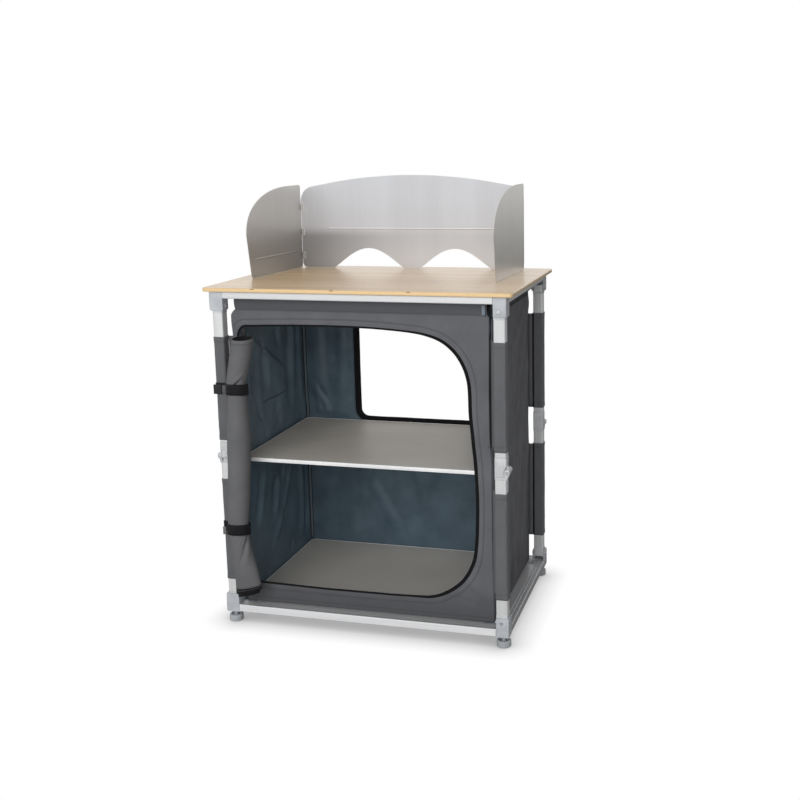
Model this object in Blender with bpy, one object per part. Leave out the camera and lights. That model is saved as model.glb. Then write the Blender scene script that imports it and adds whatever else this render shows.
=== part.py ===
# Fold-away camp kitchen unit at its real size, in metres with Z up.
# An aluminium frame carries a wooden worktop, a three-panel windscreen, two shelves
# and a fabric cover. The front faces the minus Y side.
# Every corner of the frame is the same set of pieces, turned a quarter turn from the
# one before it, so each leg folds flat along its own side of the frame.

import math

import bmesh
import bpy
import numpy as np
from mathutils import Matrix

# Worktop
WORKTOP_WIDTH = 0.720
WORKTOP_DEPTH = 0.480
WORKTOP_THICK = 0.009
WORKTOP_HEIGHT = 0.805
WORKTOP_CORNER = 0.010
WORKTOP_EDGE = 0.0012
SIDE_OVERHANG = 0.015
FRONT_OVERHANG = 0.008

# Clearances: TOUCH between pieces that rest on each other, RUN where one slides or turns
TOUCH = 0.0003
RUN = 0.0004

# Leg tubes: ACROSS is the side that turns in the fold, ALONG the side along the pins
TUBE_ACROSS = 0.026
TUBE_ALONG = 0.024
TUBE_WALL = 0.0016
TUBE_ROUND = 0.003

# Forked corner fittings and their pins
EAR_THICK = 0.0036
BACK_THICK = 0.0036
FORK_REACH = 0.010
FORK_ROUND = 0.002
SLOT_ROOM = 0.0024
PIN_RADIUS = 0.003
PIN_PLAY = 0.0006
HEAD_RADIUS = 0.005
HEAD_PROUD = 0.0012
RAIL_SPIGOT = 0.020

# Rails
RAIL_DEPTH = 0.025
BOTTOM_RAIL_HEIGHT = 0.0186
TOP_RAIL_HEIGHT = 0.016
RAIL_WALL = 0.0016
RAIL_SEAT = 0.001
RAIL_ROUND = 0.0015
GROOVE_WIDTH = 0.002
GROOVE_DEEP = 0.0007
LEDGE_WIDTH = 0.018
LEDGE_THICK = 0.002
LEDGE_INSET = 0.035

# Feet
FOOT_RADIUS = 0.0165
FOOT_THICK = 0.015
FOOT_EDGE = 0.0015
CUP_RADIUS = 0.011
CUP_DEEP = 0.003
STEM_RADIUS = 0.0045
STEM_SHOWS = 0.010
STEM_INSERT = 0.015

# Room that a folded leg keeps over the bottom rail and under the top rail
BOTTOM_FOLD_ROOM = 0.0012
TOP_FOLD_ROOM = 0.0035

# Knee joints
KNEE_SKIN = 0.0008
KNUCKLE_RADIUS = 0.0066
KNUCKLE_HALF = 0.006
PIN_BEYOND = 0.001
KNEE_DROP = 0.0133
KNEE_RISE = 0.031
GUSSET_RISE = 0.0115
COLLAR_HEIGHT = 0.0057
KNEE_SPIGOT = 0.018
KNEE_HEAD_PROUD = 0.003

# Fabric sleeves on the leg tubes
SLEEVE_THICK = 0.0009
LOWER_SLEEVE_START = 0.043
LOWER_SLEEVE_STOP = 0.032
UPPER_SLEEVE_START = 0.012
UPPER_SLEEVE_STOP = 0.055
FRONT_LEFT_SLIP = 0.006

# Fabric cover
COVER_THICK = 0.002
COVER_CLEAR = 0.009
HEM_DROP = 0.030
HEM_TURN = 0.014
HEM_REACH = 0.012
SIDE_BILLOW = 0.005
FRONT_BILLOW = 0.0012
BILLOW_COUNT = 2.5
FLOOR_THICK = 0.002

# Door opening in the front wall and window in the rear wall. Each point of the door's
# edge has its X place measured from the wall's nearer end, minus from the right end.
DOOR_HINGE_INSET = 0.029
DOOR_HINGE_CORNER = 0.013
DOOR_EDGE = ((0.0420, 0.0950), (0.2295, 0.0922), (-0.2022, 0.0938), (-0.1377, 0.0998),
             (-0.0864, 0.1297), (-0.0564, 0.1708), (-0.0433, 0.2231), (-0.0394, 0.3490),
             (-0.0480, 0.4720), (-0.0531, 0.5286), (-0.0561, 0.6008), (-0.0734, 0.6482),
             (-0.1052, 0.6828), (-0.1456, 0.7007), (-0.2029, 0.7098), (-0.3028, 0.7152),
             (0.1683, 0.7156), (0.0420, 0.7120))
WINDOW_LEFT_INSET = 0.158
WINDOW_RIGHT_INSET = 0.138
WINDOW_BOTTOM = 0.411
WINDOW_TOP = 0.700
WINDOW_CORNER = 0.020

# Shelves
SHELF_THICK = 0.009
SHELF_CORNER = 0.012
SHELF_CLEAR = 0.002
MIDDLE_SHELF_TOP = 0.400
SHELF_LOOP_DEPTH = 0.014
SHELF_LOOP_INSET = 0.020

# Rolled door: height, place beside the front left leg along X, half width and half depth
# of the roll, from the floor up
ROLL_RINGS = ((0.0880, 0.0520, 0.0345, 0.0150), (0.1320, 0.0492, 0.0322, 0.0200),
              (0.1790, 0.0396, 0.0297, 0.0240), (0.2235, 0.0344, 0.0259, 0.0255),
              (0.2585, 0.0344, 0.0259, 0.0255), (0.3220, 0.0398, 0.0280, 0.0275),
              (0.3910, 0.0444, 0.0283, 0.0280), (0.4380, 0.0463, 0.0290, 0.0285),
              (0.4820, 0.0482, 0.0279, 0.0275), (0.5565, 0.0487, 0.0243, 0.0243),
              (0.5915, 0.0487, 0.0243, 0.0243), (0.6350, 0.0584, 0.0263, 0.0263),
              (0.6930, 0.0704, 0.0266, 0.0266))
ROLL_STAND_OFF = 0.016
ROLL_SKEW = 0.009
ROLL_NOD = 0.002

# Straps that tie the rolled door to the front left leg
STRAP_WIDTH = 0.025
STRAP_THICK = 0.0012
STRAP_TILT = 0.15
STRAP_WAIST = 0.006
STRAP_ROOM = 0.006
UPPER_STRAP_Z = 0.5695
LOWER_STRAP_Z = 0.2365

# Windscreen
SHEET_THICK = 0.0012
SCREEN_SIDE_INSET = 0.068
SCREEN_REAR_INSET = 0.042
SCREEN_TOP = 0.236
SCREEN_SHOULDER = 0.209
SCREEN_SHOULDER_INSET = 0.034
SCREEN_CORNER_DROP = 0.040
SCREEN_FOOT_ROUND = 0.012
ARCH_RISE = 0.051
ARCH_FULLNESS = 1.1
ARCH_HALF = 0.095
ARCH_PLACE = 0.115
ARCH_DRIFT = 0.004
STRIP_WIDTH = 0.004
LOOP_PLAY = 0.0006
LOOP_HEIGHT = 0.015
LOOP_HEIGHTS = (0.031, 0.092, 0.156)
SLOT_SPARE = 0.0016
WING_LENGTH = 0.277
WING_FOOT_LENGTH = 0.262
WING_TOP = 0.213
WING_FLAT = 0.055
WING_BROAD_Z = 0.105
WING_ROUND = 0.008
LEFT_WING_TURN = -5.0
RIGHT_WING_TURN = -2.5
BACK_BEAD_Z = 0.101
BACK_BEAD_INSET = 0.075
WING_BEAD_Z = 0.044
WING_BEAD_START = 0.034
WING_BEAD_END = 0.236
BEAD_PROUD = 0.0010
BEAD_HALF_WIDTH = 0.0018

# Heights that follow from the sizes above
FORK_BASE = FOOT_THICK + STEM_SHOWS
BOTTOM_RAIL_Z = FORK_BASE + RAIL_SEAT
BOTTOM_RAIL_TOP = BOTTOM_RAIL_Z + BOTTOM_RAIL_HEIGHT
SLEEVE_SKIN = TOUCH + SLEEVE_THICK
SLEEVE_HALF = TUBE_ACROSS / 2 + SLEEVE_SKIN
LOW_PIVOT = BOTTOM_RAIL_TOP + SLEEVE_HALF + BOTTOM_FOLD_ROOM
WORKTOP_BASE = WORKTOP_HEIGHT - WORKTOP_THICK
FORK_CROWN = WORKTOP_BASE - TOUCH
TOP_RAIL_Z = FORK_CROWN - TOP_RAIL_HEIGHT
HIGH_PIVOT = TOP_RAIL_Z - SLEEVE_HALF - TOP_FOLD_ROOM
KNEE_PIVOT = (LOW_PIVOT + HIGH_PIVOT) / 2
KNEE_SPLIT = KNEE_PIVOT - KNEE_DROP
LOWER_TUBE_TOP = KNEE_SPLIT - COLLAR_HEIGHT - TOUCH
UPPER_TUBE_BASE = KNEE_PIVOT + KNEE_RISE + TOUCH

# Plan sizes that follow from the sizes above
FRAME_HALF_X = WORKTOP_WIDTH / 2 - SIDE_OVERHANG
FRAME_HALF_Y = WORKTOP_DEPTH / 2 - FRONT_OVERHANG
FORK_WIDTH = TUBE_ALONG + 2 * (RUN + EAR_THICK)
FORK_INNER = TUBE_ACROSS / 2
FORK_OUTER = TUBE_ACROSS / 2 + RUN + BACK_THICK
KNEE_BLOCK = TUBE_ACROSS / 2 + KNEE_SKIN
KNEE_OFFSET = KNEE_BLOCK + PIN_BEYOND
COVER_HALF_X = FRAME_HALF_X - FORK_WIDTH - COVER_CLEAR
COVER_HALF_Y = FRAME_HALF_Y - FORK_WIDTH
COVER_BASE = BOTTOM_RAIL_TOP + TOUCH
COVER_TOP = TOP_RAIL_Z - HEM_DROP
SHELF_HALF_X = COVER_HALF_X - COVER_THICK / 2 - SHELF_CLEAR
SHELF_HALF_Y = COVER_HALF_Y - COVER_THICK / 2 - SHELF_CLEAR
SCREEN_HINGE_X = WORKTOP_WIDTH / 2 - SCREEN_SIDE_INSET
SCREEN_PLANE_Y = WORKTOP_DEPTH / 2 - SCREEN_REAR_INSET
SCREEN_SHOULDER_X = SCREEN_HINGE_X - SCREEN_SHOULDER_INSET
BACK_BEAD_HALF = SCREEN_HINGE_X - BACK_BEAD_INSET
WINDOW_LEFT = -COVER_HALF_X + WINDOW_LEFT_INSET
WINDOW_RIGHT = COVER_HALF_X - WINDOW_RIGHT_INSET
DOOR_LEFT = -COVER_HALF_X + DOOR_HINGE_INSET
ROLL_DEPTH = max(ring[3] for ring in ROLL_RINGS)
ROLL_Y = -(COVER_HALF_Y + COVER_THICK / 2 + FRONT_BILLOW + ROLL_STAND_OFF + ROLL_DEPTH)
CENTRE_SHIFT = (ROLL_DEPTH - ROLL_Y - WORKTOP_DEPTH / 2) / 2

# How finely round shapes are cut
ARC_STEPS = 4
PIN_SIDES = 12
BORE_SIDES = 16
FOOT_SIDES = 20
ROLL_SIDES = 20
WALL_COLUMNS = 10
WALL_ROWS = 9
CUT_OVER = 0.002

CORNERS = ("front_right", "rear_right", "rear_left", "front_left")
SIDES = ("front", "right", "rear", "left")


# Scene and materials

def clear_scene():
    for item in list(bpy.data.objects):
        bpy.data.objects.remove(item)
    for mesh in list(bpy.data.meshes):
        bpy.data.meshes.remove(mesh)


def make_material(name, colour, roughness, metallic=0.0):
    material = bpy.data.materials.new(name)
    material.use_nodes = True
    shader = material.node_tree.nodes["Principled BSDF"]
    shader.inputs["Base Color"].default_value = (*colour, 1.0)
    shader.inputs["Roughness"].default_value = roughness
    shader.inputs["Metallic"].default_value = metallic
    return material


def make_materials():
    return {
        "bare_tube": make_material("bare_tube", (0.80, 0.81, 0.81), 0.42, 0.9),
        "rail": make_material("rail", (0.74, 0.75, 0.75), 0.40, 0.9),
        "fitting": make_material("fitting", (0.50, 0.52, 0.55), 0.45),
        "foot": make_material("foot", (0.42, 0.43, 0.46), 0.55),
        "bamboo": make_material("bamboo", (0.78, 0.58, 0.35), 0.45),
        "sheet": make_material("sheet", (0.66, 0.67, 0.69), 0.30, 1.0),
        "shelf": make_material("shelf", (0.42, 0.40, 0.37), 0.40),
        "cover": make_material("cover", (0.10, 0.10, 0.11), 0.80),
        "webbing": make_material("webbing", (0.02, 0.02, 0.025), 0.75),
    }


# Outlines in two dimensions

def rounded_rectangle(x0, x1, y0, y1, radius, steps=ARC_STEPS):
    centres = ((x1 - radius, y1 - radius), (x0 + radius, y1 - radius),
               (x0 + radius, y0 + radius), (x1 - radius, y0 + radius))
    points = []
    for quarter, (cx, cy) in enumerate(centres):
        for step in range(steps + 1):
            angle = math.pi / 2 * (quarter + step / steps)
            points.append((cx + radius * math.cos(angle), cy + radius * math.sin(angle)))
    return points


def arc(cx, cy, rx, ry, start, stop, steps):
    points = []
    for step in range(steps + 1):
        angle = math.radians(start + (stop - start) * step / steps)
        points.append((cx + rx * math.cos(angle), cy + ry * math.sin(angle)))
    return points


# Solids as temporary or named objects

def object_from_bmesh(bm, name="piece"):
    bmesh.ops.recalc_face_normals(bm, faces=bm.faces)
    mesh = bpy.data.meshes.new(name)
    bm.to_mesh(mesh)
    bm.free()
    piece = bpy.data.objects.new(name, mesh)
    bpy.context.scene.collection.objects.link(piece)
    return piece


def loft(rings, name="piece"):
    # Rings hold equally many points in order, and the two end rings are capped.
    bm = bmesh.new()
    rows = [[bm.verts.new(point) for point in ring] for ring in rings]
    count = len(rows[0])
    for lower, upper in zip(rows, rows[1:]):
        for i in range(count):
            j = (i + 1) % count
            bm.faces.new((lower[i], lower[j], upper[j], upper[i]))
    bm.faces.new(rows[0])
    bm.faces.new(rows[-1])
    return object_from_bmesh(bm, name)


def prism(outline, low, high, axis="Z", name="piece"):
    # The outline is read as XY for axis Z, as XZ for axis Y and as YZ for axis X.
    def place(point, height):
        a, b = point
        return {"Z": (a, b, height), "Y": (a, height, b), "X": (height, a, b)}[axis]
    return loft([[place(point, low) for point in outline],
                 [place(point, high) for point in outline]], name)


def box(x0, x1, y0, y1, z0, z1):
    return prism(((x0, y0), (x1, y0), (x1, y1), (x0, y1)), z0, z1)


def cylinder(cx, cz, radius, y0, y1, sides=PIN_SIDES):
    # A round bar along Y, with its axis at cx and cz.
    outline = [(cx + radius * math.cos(math.tau * i / sides),
                cz + radius * math.sin(math.tau * i / sides)) for i in range(sides)]
    return prism(outline, y0, y1, "Y")


def ring_prism(outer, inner, low, high, name="piece"):
    # An open-ended tube between two outlines of equally many points.
    bm = bmesh.new()
    loops = []
    for outline, height in ((outer, low), (outer, high), (inner, high), (inner, low)):
        loops.append([bm.verts.new((x, y, height)) for x, y in outline])
    count = len(outer)
    for k in range(4):
        first = loops[k]
        second = loops[(k + 1) % 4]
        for i in range(count):
            j = (i + 1) % count
            bm.faces.new((first[i], first[j], second[j], second[i]))
    return object_from_bmesh(bm, name)


def bake(piece):
    graph = bpy.context.evaluated_depsgraph_get()
    mesh = bpy.data.meshes.new_from_object(piece.evaluated_get(graph))
    piece.modifiers.clear()
    piece.data = mesh


def combine(piece, tool, operation):
    modifier = piece.modifiers.new(operation.lower(), "BOOLEAN")
    modifier.operation = operation
    modifier.solver = "EXACT"
    modifier.object = tool
    bake(piece)
    bpy.data.objects.remove(tool)
    return piece


def join_all(piece, *tools):
    for tool in tools:
        combine(piece, tool, "UNION")
    return piece


def cut_all(piece, *tools):
    for tool in tools:
        combine(piece, tool, "DIFFERENCE")
    return piece


def tidy(piece):
    bm = bmesh.new()
    bm.from_mesh(piece.data)
    bmesh.ops.remove_doubles(bm, verts=bm.verts, dist=0.00001)
    bmesh.ops.dissolve_degenerate(bm, edges=bm.edges, dist=0.00001)
    bmesh.ops.dissolve_limit(bm, angle_limit=math.radians(0.5), verts=bm.verts, edges=bm.edges)
    bmesh.ops.triangulate(bm, faces=[face for face in bm.faces if len(face.verts) > 4])
    bm.to_mesh(piece.data)
    bm.free()
    piece.data.shade_smooth()
    piece.data.set_sharp_from_angle(angle=math.radians(35))
    return piece


def take_mesh(piece):
    mesh = tidy(piece).data
    bpy.data.objects.remove(piece)
    return mesh


def name_piece(name, mesh, material, parent, location=(0, 0, 0), quarter=0, turn=0.0):
    # Location is in the model's own frame; the parent empty stands at a joint's axis.
    piece = bpy.data.objects.new(name, mesh)
    bpy.context.scene.collection.objects.link(piece)
    if not mesh.materials:
        mesh.materials.append(material)
    piece.parent = parent["empty"]
    piece.location = [location[i] - parent["place"][i] for i in range(3)]
    piece.rotation_euler[2] = math.pi / 2 * quarter + math.radians(turn)
    return piece


def add_empty(name, place, parent=None):
    empty = bpy.data.objects.new(name, None)
    bpy.context.scene.collection.objects.link(empty)
    empty.empty_display_size = 0.03
    if parent is None:
        empty.location = (place[0], place[1] + CENTRE_SHIFT, place[2])
    else:
        empty.parent = parent["empty"]
        empty.location = [place[i] - parent["place"][i] for i in range(3)]
    return {"empty": empty, "place": place}


# Corner places: quarter 0 is the front right corner, then on round the frame

def side_sizes(quarter):
    if quarter % 2 == 0:
        return FRAME_HALF_X, FRAME_HALF_Y
    return FRAME_HALF_Y, FRAME_HALF_X


def turn_point(x, y, quarter):
    for _ in range(quarter):
        x, y = -y, x
    return x, y


def leg_centre(quarter):
    along, across = side_sizes(quarter)
    return turn_point(along - FORK_OUTER, -across + FORK_WIDTH / 2, quarter)


def knee_centre(quarter):
    along, across = side_sizes(quarter)
    return turn_point(along - FORK_OUTER + KNEE_OFFSET, -across + FORK_WIDTH / 2, quarter)


# Corner fittings, with the leg's centre at the origin, its outer side at plus X

def fork_heads(level):
    reach = FORK_WIDTH / 2
    inside = reach - EAR_THICK / 2
    return (cylinder(0, level, PIN_RADIUS, -reach, reach),
            cylinder(0, level, HEAD_RADIUS, -reach - HEAD_PROUD, -inside),
            cylinder(0, level, HEAD_RADIUS, inside, reach + HEAD_PROUD))


def rail_spigots(rail_base, rail_height):
    play = RAIL_WALL + RUN
    low = rail_base + play
    high = rail_base + rail_height - play
    reach = FORK_WIDTH / 2
    fold_way = box(-FORK_INNER - RAIL_SPIGOT, -FORK_INNER + CUT_OVER,
                   -reach + play, -reach + RAIL_DEPTH - play, low, high)
    pin_way = box(FORK_OUTER - RAIL_DEPTH + play, FORK_OUTER - play,
                  reach - CUT_OVER, reach + RAIL_SPIGOT, low, high)
    return fold_way, pin_way


def bottom_corner_mesh():
    reach = FORK_WIDTH / 2
    crown = LOW_PIVOT + FORK_REACH
    outline = rounded_rectangle(-FORK_INNER, FORK_OUTER, -reach, reach, FORK_ROUND)
    fork = prism(outline, FORK_BASE, crown)
    slot_floor = LOW_PIVOT - TUBE_ACROSS / 2 - SLOT_ROOM
    slot = box(-FORK_INNER - CUT_OVER, TUBE_ACROSS / 2 + RUN, -TUBE_ALONG / 2 - RUN,
               TUBE_ALONG / 2 + RUN, slot_floor, crown + CUT_OVER)
    cut_all(fork, slot)
    join_all(fork, *fork_heads(LOW_PIVOT), *rail_spigots(BOTTOM_RAIL_Z, BOTTOM_RAIL_HEIGHT))
    middle = (FORK_OUTER - FORK_INNER) / 2
    bore = prism([(middle + (STEM_RADIUS + RUN) * math.cos(math.tau * i / BORE_SIDES),
                   (STEM_RADIUS + RUN) * math.sin(math.tau * i / BORE_SIDES))
                  for i in range(BORE_SIDES)],
                 FORK_BASE - CUT_OVER, FORK_BASE + STEM_INSERT + RUN)
    cut_all(fork, bore)
    return take_mesh(fork)


def top_corner_mesh():
    reach = FORK_WIDTH / 2
    base = HIGH_PIVOT - FORK_REACH
    outline = rounded_rectangle(-FORK_INNER, FORK_OUTER, -reach, reach, FORK_ROUND)
    fork = prism(outline, base, FORK_CROWN)
    slot_crown = HIGH_PIVOT + TUBE_ACROSS / 2 + SLOT_ROOM
    slot = box(-FORK_INNER - CUT_OVER, TUBE_ACROSS / 2 + RUN, -TUBE_ALONG / 2 - RUN,
               TUBE_ALONG / 2 + RUN, base - CUT_OVER, slot_crown)
    cut_all(fork, slot)
    join_all(fork, *fork_heads(HIGH_PIVOT), *rail_spigots(TOP_RAIL_Z, TOP_RAIL_HEIGHT))
    return take_mesh(fork)


# Leg tubes, knees and sleeves in the same frame as the corner fittings

def tube_outline(grow):
    a = TUBE_ACROSS / 2 + grow
    b = TUBE_ALONG / 2 + grow
    return rounded_rectangle(-a, a, -b, b, max(TUBE_ROUND + grow, TUBE_ROUND / 2))


def leg_tube_mesh(plain_end, pivot):
    # The plain end butts on the knee, and the other end is rounded about the pivot.
    upward = 1 if pivot > plain_end else -1
    radius = TUBE_ACROSS / 2
    far_end = pivot + upward * radius
    low = min(plain_end, far_end)
    high = max(plain_end, far_end)
    tube = ring_prism(tube_outline(0), tube_outline(-TUBE_WALL), low, high)
    start = 0 if upward > 0 else 180
    profile = arc(0, pivot, radius, radius, start, start + 180, 3 * ARC_STEPS)
    profile.append((-upward * radius * 1.0, plain_end - upward * CUT_OVER))
    profile.append((upward * radius * 1.0, plain_end - upward * CUT_OVER))
    combine(tube, prism(profile, -TUBE_ALONG, TUBE_ALONG, "Y"), "INTERSECT")
    cut_all(tube, cylinder(0, pivot, PIN_RADIUS + PIN_PLAY, -TUBE_ALONG, TUBE_ALONG, BORE_SIDES))
    return take_mesh(tube)


def knee_spigot(low, high):
    a = TUBE_ACROSS / 2 - TUBE_WALL - RUN
    b = TUBE_ALONG / 2 - TUBE_WALL - RUN
    return prism(rounded_rectangle(-a, a, -b, b, TUBE_ROUND / 2, 1), low, high)


def ear_profile(grow):
    # The lower knee's ear: round over the pin, then sloping down to the collar.
    reach = KNUCKLE_RADIUS + grow
    base = KNEE_SPLIT - COLLAR_HEIGHT
    profile = [(KNEE_OFFSET - reach, base)]
    profile += [(KNEE_BLOCK - TUBE_ROUND / 2, base), (KNEE_BLOCK + grow, base + grow)]
    profile += arc(KNEE_OFFSET, KNEE_PIVOT, reach, reach, -30, 180, 10)
    return profile


def ear_spans(grow):
    side = TUBE_ALONG / 2 + KNEE_SKIN
    inside = KNUCKLE_HALF + RUN - grow
    return (-side - grow, -inside), (inside, side + grow)


def lower_knee_mesh():
    side = TUBE_ALONG / 2 + KNEE_SKIN
    base = KNEE_SPLIT - COLLAR_HEIGHT
    knee = prism(tube_outline(KNEE_SKIN), base, KNEE_SPLIT)
    join_all(knee, knee_spigot(base - KNEE_SPIGOT, base + CUT_OVER))
    for low, high in ear_spans(0):
        join_all(knee, prism(ear_profile(0), low, high, "Y"))
    head = KNUCKLE_RADIUS - RUN
    join_all(knee, cylinder(KNEE_OFFSET, KNEE_PIVOT, PIN_RADIUS, -side + RUN, side - RUN),
             cylinder(KNEE_OFFSET, KNEE_PIVOT, head, -side - KNEE_HEAD_PROUD, -side + RUN),
             cylinder(KNEE_OFFSET, KNEE_PIVOT, head, side - RUN, side + KNEE_HEAD_PROUD))
    return take_mesh(knee)


def upper_knee_mesh():
    # The block is cut back from the ears as they stand open and as they stand folded.
    base = KNEE_SPLIT + TOUCH
    crown = KNEE_PIVOT + KNEE_RISE
    knee = prism(tube_outline(KNEE_SKIN), base, crown)
    join_all(knee, knee_spigot(crown - CUT_OVER, crown + KNEE_SPIGOT))
    for low, high in ear_spans(RUN):
        for folded in (False, True):
            profile = ear_profile(RUN)
            if folded:
                profile = [(2 * KNEE_OFFSET - x, 2 * KNEE_PIVOT - z) for x, z in profile]
            cut_all(knee, prism(profile, low, high, "Y"))
    inside = KNEE_BLOCK - TUBE_ROUND - CUT_OVER
    profile = arc(KNEE_OFFSET, KNEE_PIVOT, KNUCKLE_RADIUS, KNUCKLE_RADIUS, -90, 60, 8)
    profile += [(KNEE_BLOCK + PIN_BEYOND, KNEE_PIVOT + GUSSET_RISE)]
    profile += [(inside, KNEE_PIVOT + GUSSET_RISE), (inside, KNEE_PIVOT - KNUCKLE_RADIUS)]
    join_all(knee, prism(profile, -KNUCKLE_HALF, KNUCKLE_HALF, "Y"))
    cut_all(knee, cylinder(KNEE_OFFSET, KNEE_PIVOT, PIN_RADIUS + PIN_PLAY,
                           -TUBE_ALONG, TUBE_ALONG, BORE_SIDES))
    return take_mesh(knee)


def sleeve_spans():
    lower = (LOW_PIVOT + FORK_REACH + LOWER_SLEEVE_START,
             KNEE_SPLIT - COLLAR_HEIGHT - LOWER_SLEEVE_STOP)
    upper = (KNEE_PIVOT + KNEE_RISE + UPPER_SLEEVE_START,
             HIGH_PIVOT - FORK_REACH - UPPER_SLEEVE_STOP)
    return lower, upper


def sleeve_mesh(low, high):
    sleeve = ring_prism(tube_outline(TOUCH + SLEEVE_THICK), tube_outline(TOUCH), low, high)
    return take_mesh(sleeve)


def foot_mesh():
    profile = ((FOOT_RADIUS - FOOT_EDGE, 0), (FOOT_RADIUS, FOOT_EDGE),
               (FOOT_RADIUS, FOOT_THICK - FOOT_EDGE), (FOOT_RADIUS - FOOT_EDGE, FOOT_THICK),
               (CUP_RADIUS, FOOT_THICK), (CUP_RADIUS - FOOT_EDGE, FOOT_THICK - CUP_DEEP),
               (STEM_RADIUS, FOOT_THICK - CUP_DEEP), (STEM_RADIUS, FORK_BASE + STEM_INSERT))
    rings = []
    for radius, height in profile:
        rings.append([(radius * math.cos(math.tau * i / FOOT_SIDES),
                       radius * math.sin(math.tau * i / FOOT_SIDES), height)
                      for i in range(FOOT_SIDES)])
    return take_mesh(loft(rings))


# Rails, along X with the outer face at minus Y

def rail_outline(outer, base, height, grooves):
    inner = outer + RAIL_DEPTH
    crown = base + height
    points = [(outer + RAIL_ROUND, base), (inner, base), (inner, crown)]
    for share in (0.7, 0.4) if grooves else ():
        middle = outer + RAIL_DEPTH * share
        points += [(middle + GROOVE_WIDTH / 2, crown),
                   (middle + GROOVE_WIDTH / 2, crown - GROOVE_DEEP),
                   (middle - GROOVE_WIDTH / 2, crown - GROOVE_DEEP),
                   (middle - GROOVE_WIDTH / 2, crown)]
    points += [(outer + RAIL_ROUND, crown), (outer, crown - RAIL_ROUND),
               (outer, base + RAIL_ROUND)]
    return points


def rail_mesh(quarter, base, height, with_ledge):
    along, across = side_sizes(quarter)
    start = -(along - FORK_WIDTH) + TOUCH
    stop = along - FORK_OUTER - FORK_INNER - TOUCH
    outer = -across
    inner = outer + RAIL_DEPTH
    rail = prism(rail_outline(outer, base, height, with_ledge), start, stop, "X")
    if with_ledge:
        join_all(rail, box(start + LEDGE_INSET, stop - LEDGE_INSET, inner - RAIL_WALL / 2,
                           inner + LEDGE_WIDTH, base + height - LEDGE_THICK, base + height))
    cut_all(rail, box(start - CUT_OVER, stop + CUT_OVER, outer + RAIL_WALL,
                      inner - RAIL_WALL, base + RAIL_WALL, base + height - RAIL_WALL))
    return take_mesh(rail)


# Boards

def board_mesh(half_x, half_y, base, thick, corner, edge):
    rings = []
    for height, inset in ((base, edge), (base + edge, 0), (base + thick - edge, 0),
                          (base + thick, edge)):
        outline = rounded_rectangle(-half_x + inset, half_x - inset, -half_y + inset,
                                    half_y - inset, corner - inset, 2 * ARC_STEPS)
        rings.append([(x, y, height) for x, y in outline])
    return take_mesh(loft(rings))


# Fabric cover, each wall along X with its outer face at minus Y

def wall_offset(share, height, billow, hem_shift):
    # Distance of the wall's middle plane outwards: loose folds, then the hem's turn.
    rise = (height - COVER_BASE) / (COVER_TOP - COVER_BASE)
    if rise < 1:
        window = math.sin(math.pi * share) * math.sin(math.pi * rise)
        folds = 0.5 + 0.5 * math.sin(math.tau * BILLOW_COUNT * share + 2 * rise)
        return billow * window * folds
    turn = min((height - COVER_TOP) / HEM_TURN, 1)
    return hem_shift * turn * turn * (3 - 2 * turn)


def wall_solid(half_length, plane, rail_plane, billow):
    hem_shift = rail_plane - TOUCH - COVER_THICK / 2 - plane
    heights = [COVER_BASE + (COVER_TOP - COVER_BASE) * i / WALL_ROWS
               for i in range(WALL_ROWS + 1)]
    heights += [COVER_TOP + HEM_TURN / 2, COVER_TOP + HEM_TURN, TOP_RAIL_Z + HEM_REACH]
    bm = bmesh.new()
    faces = []
    for side in (-0.5, 0.5):
        grid = []
        for height in heights:
            row = []
            for column in range(WALL_COLUMNS + 1):
                share = column / WALL_COLUMNS
                out = plane + wall_offset(share, height, billow, hem_shift)
                row.append(bm.verts.new((half_length * (2 * share - 1),
                                         -out + side * COVER_THICK, height)))
            grid.append(row)
        faces.append(grid)
    front, back = faces
    rows = len(heights) - 1
    for r in range(rows):
        for c in range(WALL_COLUMNS):
            for grid in (front, back):
                bm.faces.new((grid[r][c], grid[r][c + 1], grid[r + 1][c + 1], grid[r + 1][c]))
        for c in (0, WALL_COLUMNS):
            bm.faces.new((front[r][c], front[r + 1][c], back[r + 1][c], back[r][c]))
    for r in (0, rows):
        for c in range(WALL_COLUMNS):
            bm.faces.new((front[r][c], front[r][c + 1], back[r][c + 1], back[r][c]))
    return object_from_bmesh(bm)


def smooth_through(points, steps):
    # A curve through every point, with the neighbours' direction at each.
    curve = []
    last = len(points) - 1
    for i in range(last):
        before, start, stop, after = (points[max(i - 1, 0)], points[i], points[i + 1],
                                      points[min(i + 2, last)])
        for step in range(steps):
            t = step / steps
            curve.append(tuple(0.5 * (2 * b + (c - a) * t + (2 * a - 5 * b + 4 * c - d) * t ** 2
                                      + (3 * b - a - 3 * c + d) * t ** 3)
                               for a, b, c, d in zip(before, start, stop, after)))
    return curve + [points[last]]


def door_outline():
    low = DOOR_EDGE[0][1]
    high = DOOR_EDGE[-1][1]
    edge = [(inset - math.copysign(COVER_HALF_X, inset), height)
            for inset, height in DOOR_EDGE]
    points = smooth_through(edge, 3)
    for z, start in ((high - DOOR_HINGE_CORNER, 90), (low + DOOR_HINGE_CORNER, 180)):
        points += arc(DOOR_LEFT + DOOR_HINGE_CORNER, z, DOOR_HINGE_CORNER,
                      DOOR_HINGE_CORNER, start, start + 90, 3)[(start < 180):4 - (start > 90)]
    return points


def tab_spans(beside_straps):
    # Heights of the tabs; the ones beside the straps stop short of them.
    if not beside_straps:
        return sleeve_spans()
    room = STRAP_WIDTH / 2 + STRAP_ROOM
    spans = []
    for (low, high), level in zip(sleeve_spans(), (LOWER_STRAP_Z, UPPER_STRAP_Z)):
        spans += [(low, level - room), (level + room, high)]
    return spans


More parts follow.
